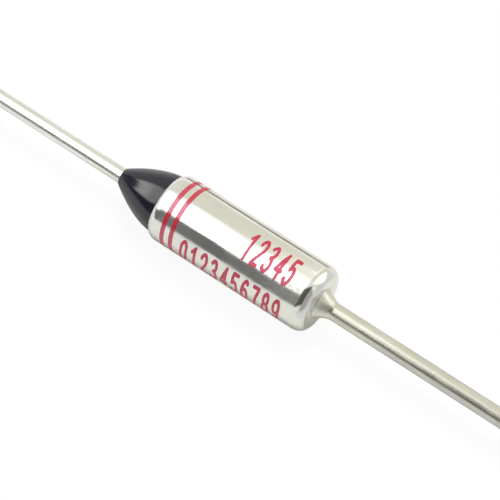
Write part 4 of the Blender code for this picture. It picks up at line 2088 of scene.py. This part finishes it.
    def set_lamp(self) -> None:
        """A large soft lamp overhead, for the soft shadow."""
        data = bpy.data.lights.new("overhead_softbox", "AREA")
        data.shape = "DISK"
        data.size = self.lamp_size
        data.energy = self.lamp_power
        lamp = bpy.data.objects.new("overhead_softbox", data)
        lamp.location = self.lamp_place
        lamp.rotation_mode = "QUATERNION"
        lamp.rotation_quaternion = Vector(lamp.location).to_track_quat("Z", "Y")
        lamp.visible_glossy = False
        lamp.visible_camera = False
        bpy.context.scene.collection.objects.link(lamp)

    def mirrored_floor(self, sheet: NodeSheet) -> bpy.types.NodeSocket:
        """What bright surfaces mirror of the floor, by place, with painted light, painted shade and a
        painted dark line in it.

        Args:
            sheet: The floor material's sheet.

        Returns:
            The colour's socket.
        """
        place = sheet.feed(sheet.add("ShaderNodeSeparateXYZ"),
                           Vector=sheet.add("ShaderNodeTexCoord").outputs["Object"])
        along, across = place.outputs[0], place.outputs[1]
        (seal_side, case_side), fade = self.side_x, self.side_fade
        # painted light beyond the seal's end and painted shade beyond the case lead's end
        past_seal = sheet.ramp(along, seal_side - fade, seal_side + fade, 1.0, 0.0)
        past_case = sheet.ramp(along, case_side - fade, case_side + fade, 0.0, 1.0)
        light = sheet.blend(past_seal, opaque(self.paper), opaque(self.seal_side_painted_light))
        light = sheet.blend(past_case, light, opaque(self.case_side_painted_shade))
        # painted shadow: the mirrored floor is darkened beside the case
        shade = sheet.math("MULTIPLY", sheet.span(along, *self.shade_x, self.shade_fade[0]),
                           sheet.span(across, *self.shade_y, self.shade_fade[1]))
        light = sheet.blend(shade, light, opaque(self.painted_case_shade))
        # painted dark line: a darker band in the mirrored floor behind the part
        strip = sheet.math("MULTIPLY", sheet.span(along, *self.painted_far_line_x, self.painted_far_line_fade[0]),
                           sheet.span(across, *self.painted_far_line_y, self.painted_far_line_fade[1]))
        return sheet.blend(strip, light, opaque(self.painted_far_line))

    def set_floor(self) -> None:
        """A pale floor that keeps a faint shadow."""
        builder = bmesh.new()
        half = self.floor_half
        builder.faces.new([builder.verts.new((x, y, 0.0))
                           for x, y in ((-half, -half), (half, -half), (half, half), (-half, half))])
        floor = as_piece("studio_floor", builder)
        material = bpy.data.materials.new("studio_paper")
        material.use_nodes = True
        material.node_tree.nodes.clear()
        sheet = NodeSheet(material.node_tree)
        path = sheet.add("ShaderNodeLightPath")
        paper = sheet.feed(sheet.add("ShaderNodeBsdfDiffuse"), Color=self.mirrored_floor(sheet))
        shaded = self.floor_white - self.floor_light
        veil = sheet.feed(sheet.add("ShaderNodeBsdfDiffuse"), Color=opaque((shaded, shaded, shaded)))
        glow = sheet.feed(sheet.add("ShaderNodeEmission"), Strength=self.floor_light)
        seen = sheet.feed(sheet.add("ShaderNodeAddShader"), in_0=veil.outputs[0], in_1=glow.outputs[0])
        chosen = sheet.feed(sheet.add("ShaderNodeMixShader"), in_0=path.outputs["Is Camera Ray"],
                            in_1=paper.outputs[0], in_2=seen.outputs[0])
        sheet.feed(sheet.add("ShaderNodeOutputMaterial"), Surface=chosen.outputs[0])
        floor.data.materials.append(material)

    def build(self) -> None:
        """Set everything up."""
        bpy.context.scene.view_settings.view_transform = "Standard"
        self.set_camera()
        self.set_sky()
        self.set_lamp()
        self.set_floor()


def main() -> None:
    """Build the studio and every sub-assembly, and report the pieces."""
    logging.basicConfig(level=logging.INFO, format="%(name)s: %(message)s")
    Studio().build()
    for part in (CaseShell(), CasePrint(), CaseLead(), IsolatedLead(), EpoxySeal(), CeramicBush(),
                 ThermalPellet(), PunchedDiscs(), StarContact(), bias_spring(), trip_spring()):
        part.build()
        part.dress()
        part.report()


if __name__ == "__main__":
    main()
